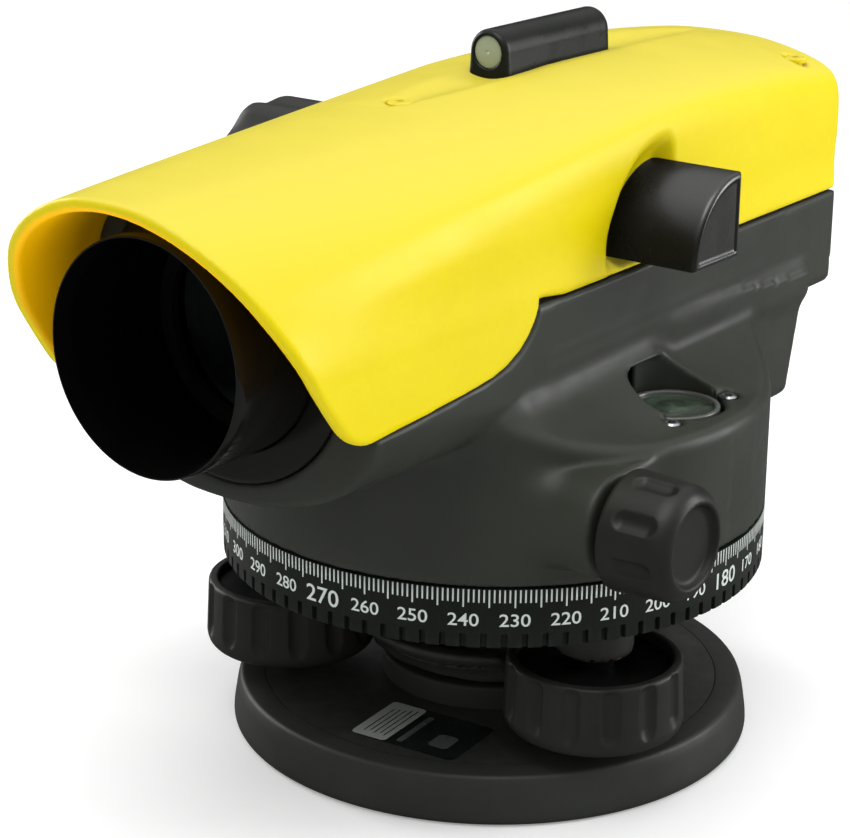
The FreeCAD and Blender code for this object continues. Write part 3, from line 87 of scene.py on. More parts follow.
FOCUS_Y = sum(v[1] for v in low_high("focus_gland")) / 2
FOCUS_Z = sum(v[2] for v in low_high("focus_gland")) / 2


def foot_centre(name):
    low, high = low_high(f"foot_stem_{name}")
    return (low[0] + high[0]) / 2, (low[1] + high[1]) / 2


FEET = {name: foot_centre(name) for name in ("right", "left", "rear")}
MIRROR_LOW, MIRROR_HIGH = low_high("mirror_housing")
SIGHT_LOW, SIGHT_HIGH = low_high("sight_body")
DRIVE_LOW, DRIVE_HIGH = low_high("drive_knob_right")
FOCUS_LOW, FOCUS_HIGH = low_high("focus_knob")
KNOB_LOW, KNOB_HIGH = (corner[2] for corner in low_high("foot_knob_right"))
PLATE_EDGE = low_high("spring_plate")[1][0] - 0.03

HUB_TOP = 22.0
HUB_LOW = 14.2
HEAD_TOP = 33.4
ARM_BOTTOM = 27.0
ARM_HALF = 6.6
BUSH_RADIUS = 5.8
SLEEVE_RADIUS = 12.0
SLEEVE_BORE = 9.5
SLEEVE_TOP = 62.0
TUBE_BORE = 18.0
TUBE_REAR = -50.0
COLLAR_SEAT = 24.95
TUBE_PASSAGE = 20.6
EYEPIECE_HOLE = 12.1
GLAND_HOLE = 11.1
DRIVE_BORE = 4.6
SCREW_POCKET = 2.45
SIGHT_HALF = 4.0
WINDOW_RADIUS = 2.88
LEVEL_RADIUS = 7.05
LIQUID_TOP = 67.0
NUMBER_HEIGHT = 39.45
FLUTES = 14
DRIVE_FLUTES = 8
FOCUS_FLUTES = 9


# ---- mesh kit


def piece(name, vertices, faces, smooth=True):
    """A mesh object from millimetre vertices."""
    mesh = bpy.data.meshes.new(name)
    mesh.from_pydata((np.asarray(vertices) * MM).tolist(), [], [list(face) for face in faces])
    mesh.update()
    mesh.validate()
    item = bpy.data.objects.new(name, mesh)
    bpy.context.scene.collection.objects.link(item)
    for polygon in mesh.polygons:
        polygon.use_smooth = smooth
    return item


CORNERS = [(i, j, k) for i in (0, 1) for j in (0, 1) for k in (0, 1)]
EDGES = [(a, b) for a in range(8) for b in range(a + 1, 8)
         if sum(abs(p - q) for p, q in zip(CORNERS[a], CORNERS[b])) == 1]


def settle(field, points, reach, rounds=4):
    """Move points onto the field's zero surface along its slope."""
    eps = 0.02
    for _ in range(rounds):
        value = field(*points.T)
        slope = np.stack([
            (field(*(points + eps * step).T) - field(*(points - eps * step).T)) / (2 * eps)
            for step in np.eye(3)], axis=1)
        shift = value / np.maximum((slope ** 2).sum(axis=1), 0.05)
        shift = np.clip(shift, -reach, reach)
        points = points - shift[:, None] * slope
    return points


def level_set(name, field, low, high, step):
    """A piece whose skin is the zero surface of a field, found by surface nets."""
    axes = [np.arange(a - step, b + 2 * step, step) for a, b in zip(low, high)]
    shape = tuple(len(axis) for axis in axes)
    values = np.empty(shape, np.float32)
    plane_y, plane_z = np.meshgrid(axes[1], axes[2], indexing="ij")
    layers = 24
    for start in range(0, shape[0], layers):
        x = axes[0][start:start + layers][:, None, None] + np.zeros_like(plane_y)[None]
        values[start:start + layers] = field(x, plane_y[None] + 0 * x, plane_z[None] + 0 * x)
    values[values == 0] = 1e-6
    inside = values < 0
    cells = tuple(n - 1 for n in shape)

    def corner(array, offset):
        return array[tuple(slice(o, o + n) for o, n in zip(offset, cells))]

    count = sum(corner(inside, offset).astype(np.int8) for offset in CORNERS)
    active = np.argwhere((count > 0) & (count < 8))
    total = np.zeros((len(active), 3))
    weight = np.zeros(len(active))
    for a, b in EDGES:
        first = values[tuple((active + CORNERS[a]).T)].astype(float)
        second = values[tuple((active + CORNERS[b]).T)].astype(float)
        crossed = (first < 0) != (second < 0)
        part = np.where(crossed, first / np.where(crossed, first - second, 1), 0)
        place = np.array(CORNERS[a]) + part[:, None] * (np.array(CORNERS[b]) - np.array(CORNERS[a]))
        total += place * crossed[:, None]
        weight += crossed
    origin = np.array([axis[0] for axis in axes])
    points = origin + (active + total / weight[:, None]) * step
    index = np.full(cells, -1, np.int64)
    index[tuple(active.T)] = np.arange(len(active))
    faces = []
    for axis in range(3):
        across, along = [(1, 2), (2, 0), (0, 1)][axis]
        ahead = [slice(None)] * 3
        ahead[axis] = slice(1, None)
        behind = [slice(None)] * 3
        behind[axis] = slice(None, -1)
        changes = np.argwhere(inside[tuple(ahead)] != inside[tuple(behind)])
        keep = (changes[:, across] > 0) & (changes[:, along] > 0)
        keep &= (changes[:, across] < cells[across]) & (changes[:, along] < cells[along])
        changes = changes[keep]
        outward = inside[tuple(changes.T)]
        ring = []
        for da, db in ((-1, -1), (0, -1), (0, 0), (-1, 0)):
            cell = changes.copy()
            cell[:, across] += da
            cell[:, along] += db
            ring.append(index[tuple(cell.T)])
        ring = np.stack(ring, axis=1)
        ring[~outward] = ring[~outward][:, ::-1]
        faces.append(ring)
    points = settle(field, points, step * 0.5)
    return piece(name, points, np.concatenate(faces).tolist())


def turned_faces(turns, count):
    """The quads between neighbouring outlines of count points set round a full turn."""
    faces = []
    for turn in range(turns):
        start, after = turn * count, (turn + 1) % turns * count
        for step in range(count):
            follow = (step + 1) % count
            faces.append((start + step, after + step, after + follow, start + follow))
    return faces


def lathe(name, outline, centre=(0, 0, 0), axis="z", turns=256):
    """A turned piece: outline is (radius, height) pairs, with height along the axis."""
    outline = np.asarray(outline, float)
    angles = np.arange(turns) * 2 * math.pi / turns
    radius = outline[:, 0][None, :]
    cos, sin = np.cos(angles)[:, None], np.sin(angles)[:, None]
    height = np.broadcast_to(outline[:, 1][None, :], (turns, len(outline)))
    flat = np.stack([radius * cos, radius * sin, height], axis=-1)
    if axis == "y":
        flat = flat[..., [0, 2, 1]]
    if axis == "x":
        flat = flat[..., [2, 0, 1]]
    faces = turned_faces(turns, len(outline))
    item = piece(name, flat.reshape(-1, 3) + np.asarray(centre), faces)
    tidy(item)
    return item


def tidy(item):
    """Merge points on an axis, drop faces with no area and turn the normals outward."""
    work = bmesh.new()
    work.from_mesh(item.data)
    bmesh.ops.remove_doubles(work, verts=work.verts, dist=1e-6)
    bmesh.ops.dissolve_degenerate(work, edges=work.edges, dist=1e-7)
    bmesh.ops.recalc_face_normals(work, faces=work.faces)
    work.to_mesh(item.data)
    work.free()
    for polygon in item.data.polygons:
        polygon.use_smooth = True


def rounded(corners, radius, steps=5):
    """An open outline with its inner corners rounded: corners are (radius, height) pairs."""
    corners = [np.asarray(corner, float) for corner in corners]
    result = [corners[0]]
    for before, here, after in zip(corners, corners[1:], corners[2:]):
        a, b = before - here, after - here
        reach = min(radius, 0.45 * np.linalg.norm(a), 0.45 * np.linalg.norm(b))
        a, b = a / np.linalg.norm(a) * reach, b / np.linalg.norm(b) * reach
        for step in range(steps + 1):
            part = step / steps
            result.append(here + a * (1 - part) ** 2 + b * part ** 2)
    result.append(corners[-1])
    return result


def adopt(item, body, material, *replaced, slot=None):
    """Ride a piece on its body, give it its material and let it stand for CAD nodes."""
    item.data.materials.clear()
    item.data.materials.append(material)
    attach(item, body)
    if replaced:
        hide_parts(*replaced)
    return item


# ---- field kit


def mix(a, b, part):
    return a + (b - a) * part


def ramp(value, start, end):
    part = np.clip((value - start) / (end - start), 0, 1)
    return part * part * (3 - 2 * part)


def union(a, b, blend=0.0):
    blend = np.maximum(blend, 1e-6)
    part = np.clip(0.5 + 0.5 * (b - a) / blend, 0, 1)
    return mix(b, a, part) - blend * part * (1 - part)


def both(a, b, blend=0.0):
    return -union(-a, -b, blend)


def without(a, b, blend=0.0):
    return both(a, -b, blend)


def rod(across, up, out, radius, low, high, centre=(0, 0), edge=0.6):
    """A round bar: out runs along its axis, across and up run over it."""
    side = np.hypot(across - centre[0], up - centre[1]) - radius
    return both(side, np.maximum(low - out, out - high), edge)


def rod_z(x, y, z, *sizes, **more):
    return rod(x, y, z, *sizes, **more)


def rod_x(x, y, z, *sizes, **more):
    return rod(y, z, x, *sizes, **more)


def rod_y(x, y, z, *sizes, **more):
    return rod(x, z, y, *sizes, **more)


def slab(x, y, z, low, high, edge=0.6):
    """A box between two corners with rounded edges."""
    middle = [(a + b) / 2 for a, b in zip(low, high)]
    half = [(b - a) / 2 for a, b in zip(low, high)]
    gaps = [np.abs(v - m) - h for v, m, h in zip((x, y, z), middle, half)]
    return both(both(gaps[0], gaps[1], edge), gaps[2], edge)


# ---- the yellow cover and the dark housing

WALL = 2.4  # the cover's wall
LIP_TOP = -100.5  # y of the hood's lip at its top and at its lower corners
LIP_LOW = -80.0
NOTCH = -30.2  # y where the cover's lower edge steps up to the parting
SEAM = 0.28  # gap between the cover and the housing


def along(y):
    """0 at the hood's lip, 1 at the rear face."""
    return np.clip((y - LIP_TOP) / (REAR_FACE - LIP_TOP), 0, 1)


def half_width(y):
    return mix(30.6, 28.0, along(y) ** 1.5)


def ridge(y):
    """Height of the cover along its middle: it climbs to beyond the sight, then falls to the rear."""
    part = along(y)
    return 118.3 + 8.9 * part - 7.0 * np.maximum(part - 0.62, 0) / 0.38 * part ** 2


def skin(x, y, z, inset=0.0):
    """Distance from the cover's outer form, which is round at the hood and nearly square behind."""
    part = along(y)
    half = half_width(y) - inset
    top = ridge(y) - inset
    arch_centre = mix(88.0, 46.0, part ** 0.8)
    arch_radius = top - arch_centre
    sharp = mix(9.0, 15.0, part) + 8.0 * np.sin(np.pi * np.clip(part, 0, 1)) ** 2
    across = np.abs(x)
    up = z - PARTING
    reach = np.maximum(np.hypot(across, up), 1e-6)
    cos = across / reach
    sin = np.maximum(up, 0) / reach
    to_side = half / np.maximum(cos, 1e-3)
    rise = sin * (PARTING - arch_centre)
    to_arch = -rise + np.sqrt(np.maximum(rise ** 2 + arch_radius ** 2 - (PARTING - arch_centre) ** 2, 1.0))
    limit = (to_side ** -sharp + to_arch ** -sharp) ** (-1 / sharp)
    limit = mix(half, limit, ramp(sin, 0.0, 0.4))
    above = (reach - limit) * 0.93
    flare = 1.6 * (1 - part) * np.clip(PARTING - z, 0, 14) / 24
    below = across - half - flare
    return np.where(up > 0, above, below)


def lip_line(z):
    """Where the hood's lip stands at a height: it leans forward as it rises."""
    part = (z - 81.0) / 37.3
    return LIP_LOW - 29.5 * part + 9.0 * part ** 2


EDGE_STATIONS = [-100, -75, -68.7, -61, -55.4, -49.7, -43.5, -39.5, -35.6, -33.2, -31.6, -30.7, -30.2, -20]
EDGE_HEIGHTS = [79.4, 80.6, 81.0, 81.4, 81.8, 82.2, 82.8, 83.7, 85.4, 87.2, 88.9, 90.3, 91.6, 92.0]


def lower_edge(y):
    """Height of the cover's lower edge: low along the hood, up in a swing, then the parting line."""
    swing = np.interp(y, EDGE_STATIONS, EDGE_HEIGHTS)
    return np.where(y < NOTCH, swing, PARTING + 0.9 * (1 - ramp(y, NOTCH + 0.2, NOTCH + 9)))


def cover_zone(x, y, z):
    """Negative where the cover may be: behind its lip and above its lower edge."""
    swing = (lower_edge(y) - z) * mix(1.0, 0.66, ramp(y, -46, -36) * (1 - ramp(y, NOTCH - 0.5, NOTCH + 0.5)))
    lip = (lip_line(z) - y) * 0.86
    return both(swing, lip, 4.0)


def trough(x, y, z):
    """The shallow lens-shaped channel along the ridge, in which the sight stands."""
    run = np.clip((y + 34) / 100, 0, 1)
    half = 6.4 * np.sin(np.pi * run) ** 0.7 + 0.01
    depth = 1.5 * np.sin(np.pi * run) ** 0.6
    floor = ridge(y) - depth * np.clip(1 - (x / half) ** 2, -1, 1)
    return z - floor


def mirror_profile(y, z):
    """Distance from the mirror hood's quarter-round side outline."""
    deep = MIRROR_HIGH[1] - MIRROR_LOW[1]
    tall = MIRROR_HIGH[2] - MIRROR_LOW[2]
    back = np.maximum(MIRROR_HIGH[1] - y, 0) / deep
    up = np.maximum(z - MIRROR_LOW[2], 0) / tall
    arc = ((back ** 2.1 + up ** 2.1) ** (1 / 2.1) - 1) * tall * 0.97
    return np.maximum(np.maximum(arc, y - MIRROR_HIGH[1]), MIRROR_LOW[2] - z)


def mirror_dent(x, y, z):
    """How deep the cover is drawn in where the mirror's hood stands on its +X side."""
    behind = 1 - ramp(y, MIRROR_HIGH[1] - 1.0, MIRROR_HIGH[1] + 2.5)
    depth = 3.5 * (1 - ramp(mirror_profile(y, z), 0.0, 5.6)) * behind
    return np.where(x > 0, depth, 0.0) * ramp(z, 91.5, 94.5)


SCREWS = [(0.0, -29.0), (22.0, 66.0), (-22.0, 66.0)]


def screw_top(across, y):
    """Height of the skin over a cover screw."""
    heights = np.linspace(108, 130, 600)
    value = skin(np.full_like(heights, across), np.full_like(heights, y), heights)
    return float(heights[np.argmin(np.abs(value))])


SCREW_TOPS = [screw_top(across, y) for across, y in SCREWS]


def eyepiece_hole(x, y, z):
    return rod_y(x, y, z, EYEPIECE_HOLE, REAR_FACE - 6, REAR_FACE + 9, (0, AXIS_HEIGHT))


def cover_field(x, y, z):
    """The moulded cover: a shell with the sight's channel, screw pockets and two openings."""
    dent = mirror_dent(x, y, z)
    outer = both(skin(x, y, z) + dent, y - REAR_FACE, 1.4)
    outer = both(outer, trough(x, y, z), 1.0)
    inner = both(skin(x, y, z, WALL) + dent, y - REAR_FACE + WALL, 2.0)
    shell = both(both(outer, -inner, 0.9), cover_zone(x, y, z), 0.9)
    for (across, behind), top in zip(SCREWS, SCREW_TOPS):
        shell = without(shell, rod_z(x, y, z, SCREW_POCKET, top - 1.3, top + 9, (across, behind)), 0.5)
    shell = without(shell, rod_x(x, y, z, GLAND_HOLE, -60, -20, (FOCUS_Y, FOCUS_Z)), 0.5)
    return without(shell, eyepiece_hole(x, y, z), 0.4)


def belly(x, y, z):
    """The telescope body's lower half: round below at the front, nearly square at the rear."""
    part = np.clip((y - FRONT_FACE) / 100, 0, 1)
    half = half_width(y) - 0.05
    low = mix(64.1, 72.3, part)
    spring = mix(81.0, 78.0, ramp(y, 20, 60))
    power = mix(2.1, 4.5, part) + 3.5 * ramp(y, 10, 60)
    down = np.maximum(spring - z, 0) / (spring - low)
    reach = ((np.abs(x) / half) ** power + down ** power) ** (1 / power)
    scale = np.where(z < spring, mix(0.75, 0.6, part) * (spring - low), half)
    return (reach - 1) * np.minimum(scale, half)


def deck(x):
    """Height of the drum's top: level beside the circular level, rising towards the body."""
    return DECK_LOW + 5.0 * np.clip((45.0 - np.abs(x)) / 16.5, 0, 1) ** 1.25


def housing_field(x, y, z):
    """Drum, deck, telescope body, rear lobe and drive bosses, run together with fillets."""
    drum = both(np.hypot(x, y) - DRUM_RADIUS, (z - deck(x)) * 0.95, 2.4)
    dent = mirror_dent(x, y, z)
    hood_inside = skin(x, y, z, WALL + SEAM)
    inside_hood = both(hood_inside + dent, FRONT_FACE - y, 0.6)
    inside_hood = both(inside_hood, np.where(y < FRONT_FACE + 4, z - 140, z - PARTING + 0.05))
    inside_hood = both(inside_hood, y - REAR_FACE, 0.9)
    clear = cover_zone(x, y, z) - SEAM
    ends = np.maximum(FRONT_FACE - y, y - REAR_FACE)
    skirt = both(both(belly(x, y, z), z - PARTING + 0.2), ends, 0.9)
    lower_front = belly(np.abs(x) * 1.035, y, z)
    front_part = both(both(lower_front, ends, 0.6), z - 90)
    skirt = union(without(skirt, clear, 0.6), both(front_part, hood_inside), 0.4)
    body = union(skirt, both(inside_hood, 78.0 - z), 0.3)
    neck = both(np.abs(x) - half_width(y) + 0.15, np.maximum(-33 - y, y - 52), 7.0)
    body = union(body, both(neck, np.maximum(60 - z, z - 83), 0.3), 0.4)
    whole = union(drum, body, mix(1.6, 6.0, ramp(y, -44, -33)) - 3.0 * ramp(y, 4, 14))
    lean = np.clip((z - 56.0) / 17.0, 0, 1)
    lobe_half = mix(28.2, 28.6, lean)
    lobe_rear = mix(60.4, 63.8, lean)
    lobe = both(np.abs(x) - lobe_half, np.maximum(y - lobe_rear, 12 - y), 3.0)
    lobe = both(lobe * 0.95, np.maximum(53.4 - z, z - 80), 2.4)
    whole = union(whole, lobe, 1.6)
    for side in (-1, 1):
        ridge_bar = np.maximum(np.maximum(DRIVE_Y - y, y + 8.0), np.abs(z - DRIVE_Z) - 8.9)
        boss = union(np.hypot(y - DRIVE_Y, z - DRIVE_Z) - 9.0, ridge_bar, 0.4)
        boss = both(boss, np.maximum(20.0 - side * x, side * x - 46.6), 0.7)
        whole = union(whole, boss, mix(6.0, 1.0, ramp(y, DRIVE_Y - 9, DRIVE_Y - 1)))
    whole = both(whole, DRUM_BOTTOM - z, 0.3)
    cavity_half = half_width(y) - 5.6
    cavity = both(both(np.abs(x) - cavity_half, np.abs(y) - 71.0, 1.0), 76.0 - z, 3.0)
    sight_line = (0, AXIS_HEIGHT)
    hollows = [
        (rod_z(x, y, z, DRUM_RADIUS - 3, 40, 66), 0.3),
        (both(cavity, z - 150), 0.0),
        (rod_y(x, y, z, COLLAR_SEAT, FRONT_FACE - 5, FRONT_FACE + 3.2, sight_line, 0.1), 0.3),
        (rod_y(x, y, z, TUBE_PASSAGE, FRONT_FACE - 5, -40, sight_line, 0.1), 0.3),
        (eyepiece_hole(x, y, z), 0.4),
        (rod_x(x, y, z, GLAND_HOLE, -60, -20, (FOCUS_Y, FOCUS_Z)), 0.5),
        (rod_x(x, y, z, DRIVE_BORE, -60, 60, (DRIVE_Y, DRIVE_Z), 0.2), 0.3),
        (rod_z(x, y, z, 9.0, 61.6, 74.5, (VIAL_X, VIAL_Y), 1.0), 0.4),
    ]
    for degrees in (60, 180, 300):
        turn = math.radians(degrees)
        place = (VIAL_X + 10.9 * math.cos(turn), VIAL_Y + 10.9 * math.sin(turn))
        hollows.append((rod_z(x, y, z, 1.9, 60, 74, place), 0.25))
    for hollow, blend in hollows:
        whole = without(whole, hollow, blend)
    return whole


# ---- materials


def material(name):
    """A new node material: returns it with its tree and its surface shader."""
    made = bpy.data.materials.new(name)
    made.use_nodes = True
    tree = made.node_tree
    return made, tree, tree.nodes["Principled BSDF"]


def feed(tree, made, inputs):
    """Link sockets to a node's inputs, and set the inputs that are given as plain values."""
    for name, value in inputs.items():
        if isinstance(value, bpy.types.NodeSocket):
            tree.links.new(value, made.inputs[name])
        else:
            made.inputs[name].default_value = value


def node(tree, kind, inputs=None, **settings):
    """Add a shader node with its settings and inputs, and return it."""
    made = tree.nodes.new(kind)
    for name, value in settings.items():
        setattr(made, name, value)
    feed(tree, made, inputs or {})
    return made


def times(tree, first, second, **settings):
    product = node(tree, "ShaderNodeMath", {0: first, 1: second}, operation="MULTIPLY", **settings)
    return product.outputs[0]


def place_of(tree):
    return node(tree, "ShaderNodeTexCoord").outputs["Object"]


def noise(tree, scale, detail=4.0, roughness=0.55):
    """Noise over the object's own metres."""
    inputs = {"Vector": place_of(tree), "Scale": scale, "Detail": detail, "Roughness": roughness}
    return node(tree, "ShaderNodeTexNoise", inputs).outputs["Fac"]


def scaled(tree, value, low, high, to_low=0.0, to_high=1.0):
    """A value's range between low and high, stretched to another range and cut off at its ends."""
    inputs = {"Value": value, "From Min": low, "From Max": high, "To Min": to_low, "To Max": to_high}
    return node(tree, "ShaderNodeMapRange", inputs).outputs["Result"]


def blended(tree, part, first, second):
    """Two colours mixed by a factor."""
    made = node(tree, "ShaderNodeMix", data_type="RGBA")
    for name, value in (("Factor", part), ("A", first), ("B", second)):
        kind = "VALUE" if name == "Factor" else "RGBA"
        socket = next(s for s in made.inputs if s.name == name and s.type == kind and s.enabled)
        if isinstance(value, bpy.types.NodeSocket):
            tree.links.new(value, socket)
        else:
            socket.default_value = value if name == "Factor" else (*value, 1.0)
    return next(s for s in made.outputs if s.enabled)


def bumps(tree, shader, layers):
    """Stack bump layers of (height value, strength, distance in metres)."""
    previous = None
    for height, strength, distance in layers:
        inputs = {"Height": height, "Strength": strength, "Distance": distance}
        if previous:
            inputs["Normal"] = previous
        previous = node(tree, "ShaderNodeBump", inputs).outputs["Normal"]
    tree.links.new(previous, shader.inputs["Normal"])


def edge_wear(tree, low=0.52, high=0.62):
    """1 on worn convex edges and 0 elsewhere, broken up by noise."""
    sharp = scaled(tree, node(tree, "ShaderNodeNewGeometry").outputs["Pointiness"], low, high)
    broken = scaled(tree, noise(tree, 420.0, 5.0), 0.42, 0.62)
    return times(tree, sharp, broken, use_clamp=True)


def finish_material(name, colour, rough, grain_size, grain_height, variation=0.12, wear=0.25,
                    wear_colour=None, sheen=0.0, coat=0.0, specular=0.5, rough_spread=0.08):
    """A moulded or coated finish: colour variation, fine grain, mottled roughness and worn edges."""
    made, tree, shader = material(name)
    colour = np.array(colour, float)
    darker = tuple(np.clip(colour * (1 - variation), 0, 1))
    lighter = tuple(np.clip(colour * (1 + variation) + 0.002, 0, 1))
    broad = scaled(tree, noise(tree, 38.0, 3.0), 0.35, 0.65)
    base = blended(tree, broad, darker, lighter)
    speck = scaled(tree, noise(tree, 1.0 / (grain_size * MM), 2.0), 0.3, 0.7, 0.0, 0.35)
    base = blended(tree, speck, base, darker)
    if wear > 0:
        worn = tuple(np.clip(colour * 1.8 + 0.03, 0, 1)) if wear_colour is None else wear_colour
        base = blended(tree, times(tree, edge_wear(tree), wear), base, worn)
    mottled = scaled(tree, noise(tree, 160.0, 5.0), 0.3, 0.7, rough - rough_spread, rough + rough_spread)
    feed(tree, shader, {"Base Color": base, "Roughness": mottled, "Specular IOR Level": specular,
                        "Sheen Weight": sheen, "Sheen Roughness": 0.4,
                        "Coat Weight": coat, "Coat Roughness": 0.12})
    fine = noise(tree, 1.0 / (grain_size * MM), 3.0, 0.6)
    soft = noise(tree, 60.0, 2.0)
    bumps(tree, shader, [(soft, 0.12, 0.0004), (fine, 1.0, grain_height * MM)])
    return made


def glass_material(name, colour, rough=0.03, opacity=0.0, coating=(0.5, 0.35, 0.7)):
    """Glass with a thin tinted coating and a trace of dust."""
    made, tree, shader = material(name)
    dust = scaled(tree, noise(tree, 300.0, 5.0), 0.5, 0.8, rough, rough + 0.12)
    tint = blended(tree, scaled(tree, noise(tree, 30.0, 1.0), 0.3, 0.7, 0.0, 0.3), colour, coating)
    feed(tree, shader, {"Roughness": dust, "Base Color": tint, "IOR": 1.5, "Coat Weight": 0.6,
                        "Transmission Weight": 1.0 - opacity, "Coat Tint": (*coating, 1.0)})
    return made


def metal_material(name, colour, rough=0.3, lines=900.0):
    """Machined metal: fine turning lines, tarnish and mottled roughness."""
    made, tree, shader = material(name)
    spots = scaled(tree, noise(tree, 90.0, 5.0), 0.35, 0.7)
    tarnished = tuple(np.array(colour) * 0.62)
    mottled = scaled(tree, noise(tree, 240.0, 4.0), 0.3, 0.7, rough * 0.7, rough * 1.3)
    feed(tree, shader, {"Base Color": blended(tree, spots, colour, tarnished), "Metallic": 1.0,
                        "Roughness": mottled})
    wave = node(tree, "ShaderNodeTexWave", {"Vector": place_of(tree), "Scale": lines, "Distortion": 1.5},
                bands_direction="Z")
    bumps(tree, shader, [(wave.outputs["Fac"], 0.25, 0.00003), (noise(tree, 1500.0), 0.2, 0.00003)])
    return made


def warm_inside(made):
    """Painted light: an orange glow painted on the hood's inner skin for light through the thin hood, a
    painted highlight on up-facing skin; mirrors see it dark.
    """
    tree = made.node_tree
    shader = tree.nodes["Principled BSDF"]
    spot = node(tree, "ShaderNodeTexCoord")
    outward = node(tree, "ShaderNodeVectorMath", {0: spot.outputs["Object"], 1: (0, 0, AXIS_HEIGHT * MM)},
                   operation="SUBTRACT")
    flat = node(tree, "ShaderNodeVectorMath", {0: outward.outputs[0], 1: (1, 0, 1)}, operation="MULTIPLY")
    unit = node(tree, "ShaderNodeVectorMath", {0: flat.outputs[0]}, operation="NORMALIZE")
    facing = node(tree, "ShaderNodeVectorMath", {0: unit.outputs[0], 1: spot.outputs["Normal"]},
                  operation="DOT_PRODUCT")
    inner = scaled(tree, facing.outputs["Value"], -0.25, -0.6)
    depth = node(tree, "ShaderNodeSeparateXYZ", {"Vector": spot.outputs["Object"]})
    near_lip = scaled(tree, depth.outputs["Y"], -0.098, -0.078, 0.42, 0.03)
    paint = shader.inputs["Base Color"].links[0].from_socket
    # Painted highlight: skin that faces up is painted paler yellow, as where the light from above falls on
    # it.
    tilt = node(tree, "ShaderNodeSeparateXYZ", {"Vector": spot.outputs["Normal"]})
    painted_top_highlight = blended(tree, scaled(tree, tilt.outputs["Z"], 0.30, 0.92), paint, (0.82, 0.695, 0.070))
    # Painted glow: skin that faces the sight line is painted orange and made to glow near the lip, for light
    # coming through the thin hood.
    inside = blended(tree, inner, painted_top_highlight, (0.75, 0.42, 0.0))
    rays = node(tree, "ShaderNodeLightPath")
    # Glossy rays see the cover painted dark, so glossy parts show no yellow reflection of it.
    seen = blended(tree, rays.outputs["Is Glossy Ray"], inside, (0.05, 0.035, 0.0))
    feed(tree, shader, {"Base Color": seen, "Emission Strength": times(tree, inner, near_lip),
                        "Emission Color": (1.0, 0.50, 0.0, 1.0)})


YELLOW = finish_material("yellow_moulding", (0.795, 0.648, 0.001), 0.34, 0.5, 0.012, variation=0.02,
                         wear=0.05, wear_colour=(0.95, 0.84, 0.15), specular=0.16, rough_spread=0.04)
# The cover's colour carries painted light: a painted highlight on its top and a painted glow on its inner
# skin.
warm_inside(YELLOW)
DARK_PAINT = finish_material("dark_housing_paint", (0.035, 0.038, 0.031), 0.40, 0.28, 0.018, variation=0.08,
                             wear=0.20, specular=0.25)
BASE_PAINT = finish_material("base_plate_paint", (0.030, 0.032, 0.028), 0.46, 0.32, 0.026, variation=0.10,
                             wear=0.25, specular=0.25)
HEAD_PAINT = finish_material("levelling_head_paint", (0.034, 0.035, 0.031), 0.45, 0.35, 0.03, variation=0.1,
                             wear=0.35, specular=0.25)
SHEET = finish_material("black_sheet", (0.027, 0.029, 0.025), 0.45, 0.2, 0.012, variation=0.15, wear=0.2,
                        specular=0.3)
KNOB = finish_material("soft_touch_knob", (0.0165, 0.0165, 0.0145), 0.42, 0.22, 0.014, variation=0.15,
                       specular=0.28)
RUBBER = finish_material("soft_rubber", (0.012, 0.012, 0.012), 0.7, 0.3, 0.03, wear=0.1, sheen=0.3)
RING_BLACK = finish_material("ring_satin_black", (0.0085, 0.0115, 0.0090), 0.34, 0.2, 0.006, variation=0.12,
                             wear=0.4, specular=0.28)
GLOSS = finish_material("gloss_black", (0.006, 0.006, 0.005), 0.20, 0.3, 0.003, variation=0.2, wear=0.15,
                        specular=0.4, rough_spread=0.04)
HOOD_BLACK = finish_material("mirror_hood_black", (0.0065, 0.0068, 0.0055), 0.27, 0.3, 0.006, variation=0.15,
                             wear=0.2, specular=0.75, rough_spread=0.05)
TUBE_GLOSS = finish_material("objective_gloss", (0.004, 0.004, 0.0035), 0.12, 0.4, 0.002, variation=0.2,
                             wear=0.05, specular=0.45, rough_spread=0.03)
MATT_BLACK = finish_material("matt_black", (0.004, 0.004, 0.004), 0.55, 0.2, 0.01, variation=0.2, wear=0.1,
                             specular=0.12)
INSIDE_BLACK = finish_material("flocked_black", (0.0012, 0.0012, 0.0012), 0.7, 0.2, 0.01, variation=0.2,
                               wear=0.0, specular=0.02)
LEVEL_METAL = finish_material("level_rim_metal", (0.10, 0.105, 0.10), 0.28, 0.3, 0.004, variation=0.1,
                              wear=0.3, specular=0.8)
SIGHT = finish_material("sight_plastic", (0.0115, 0.013, 0.0105), 0.27, 0.3, 0.008, variation=0.1, wear=0.05,
                        specular=0.18)
PRINT = finish_material("printed_marks", (0.64, 0.70, 0.66), 0.55, 0.25, 0.004, variation=0.08, wear=0.0)
NYLON = finish_material("nylon", (0.70, 0.69, 0.64), 0.45, 0.3, 0.01, wear=0.0)
STEEL = metal_material("ground_steel", (0.55, 0.55, 0.57), 0.28)
DARK_STEEL = metal_material("blackened_steel", (0.07, 0.07, 0.072), 0.36)
BRASS = metal_material("machined_brass", (0.72, 0.53, 0.24), 0.30)
ALUMINIUM = metal_material("machined_aluminium", (0.66, 0.66, 0.68), 0.35)
GLASS = glass_material("coated_glass", (0.80, 0.86, 0.84), coating=(0.30, 0.36, 0.33))
VIAL = glass_material("vial_glass", (0.72, 0.80, 0.72), rough=0.05, opacity=0.06, coating=(0.6, 0.7, 0.6))
MIRROR_FACE = metal_material("mirror_face", (0.9, 0.9, 0.9), 0.03, 10.0)

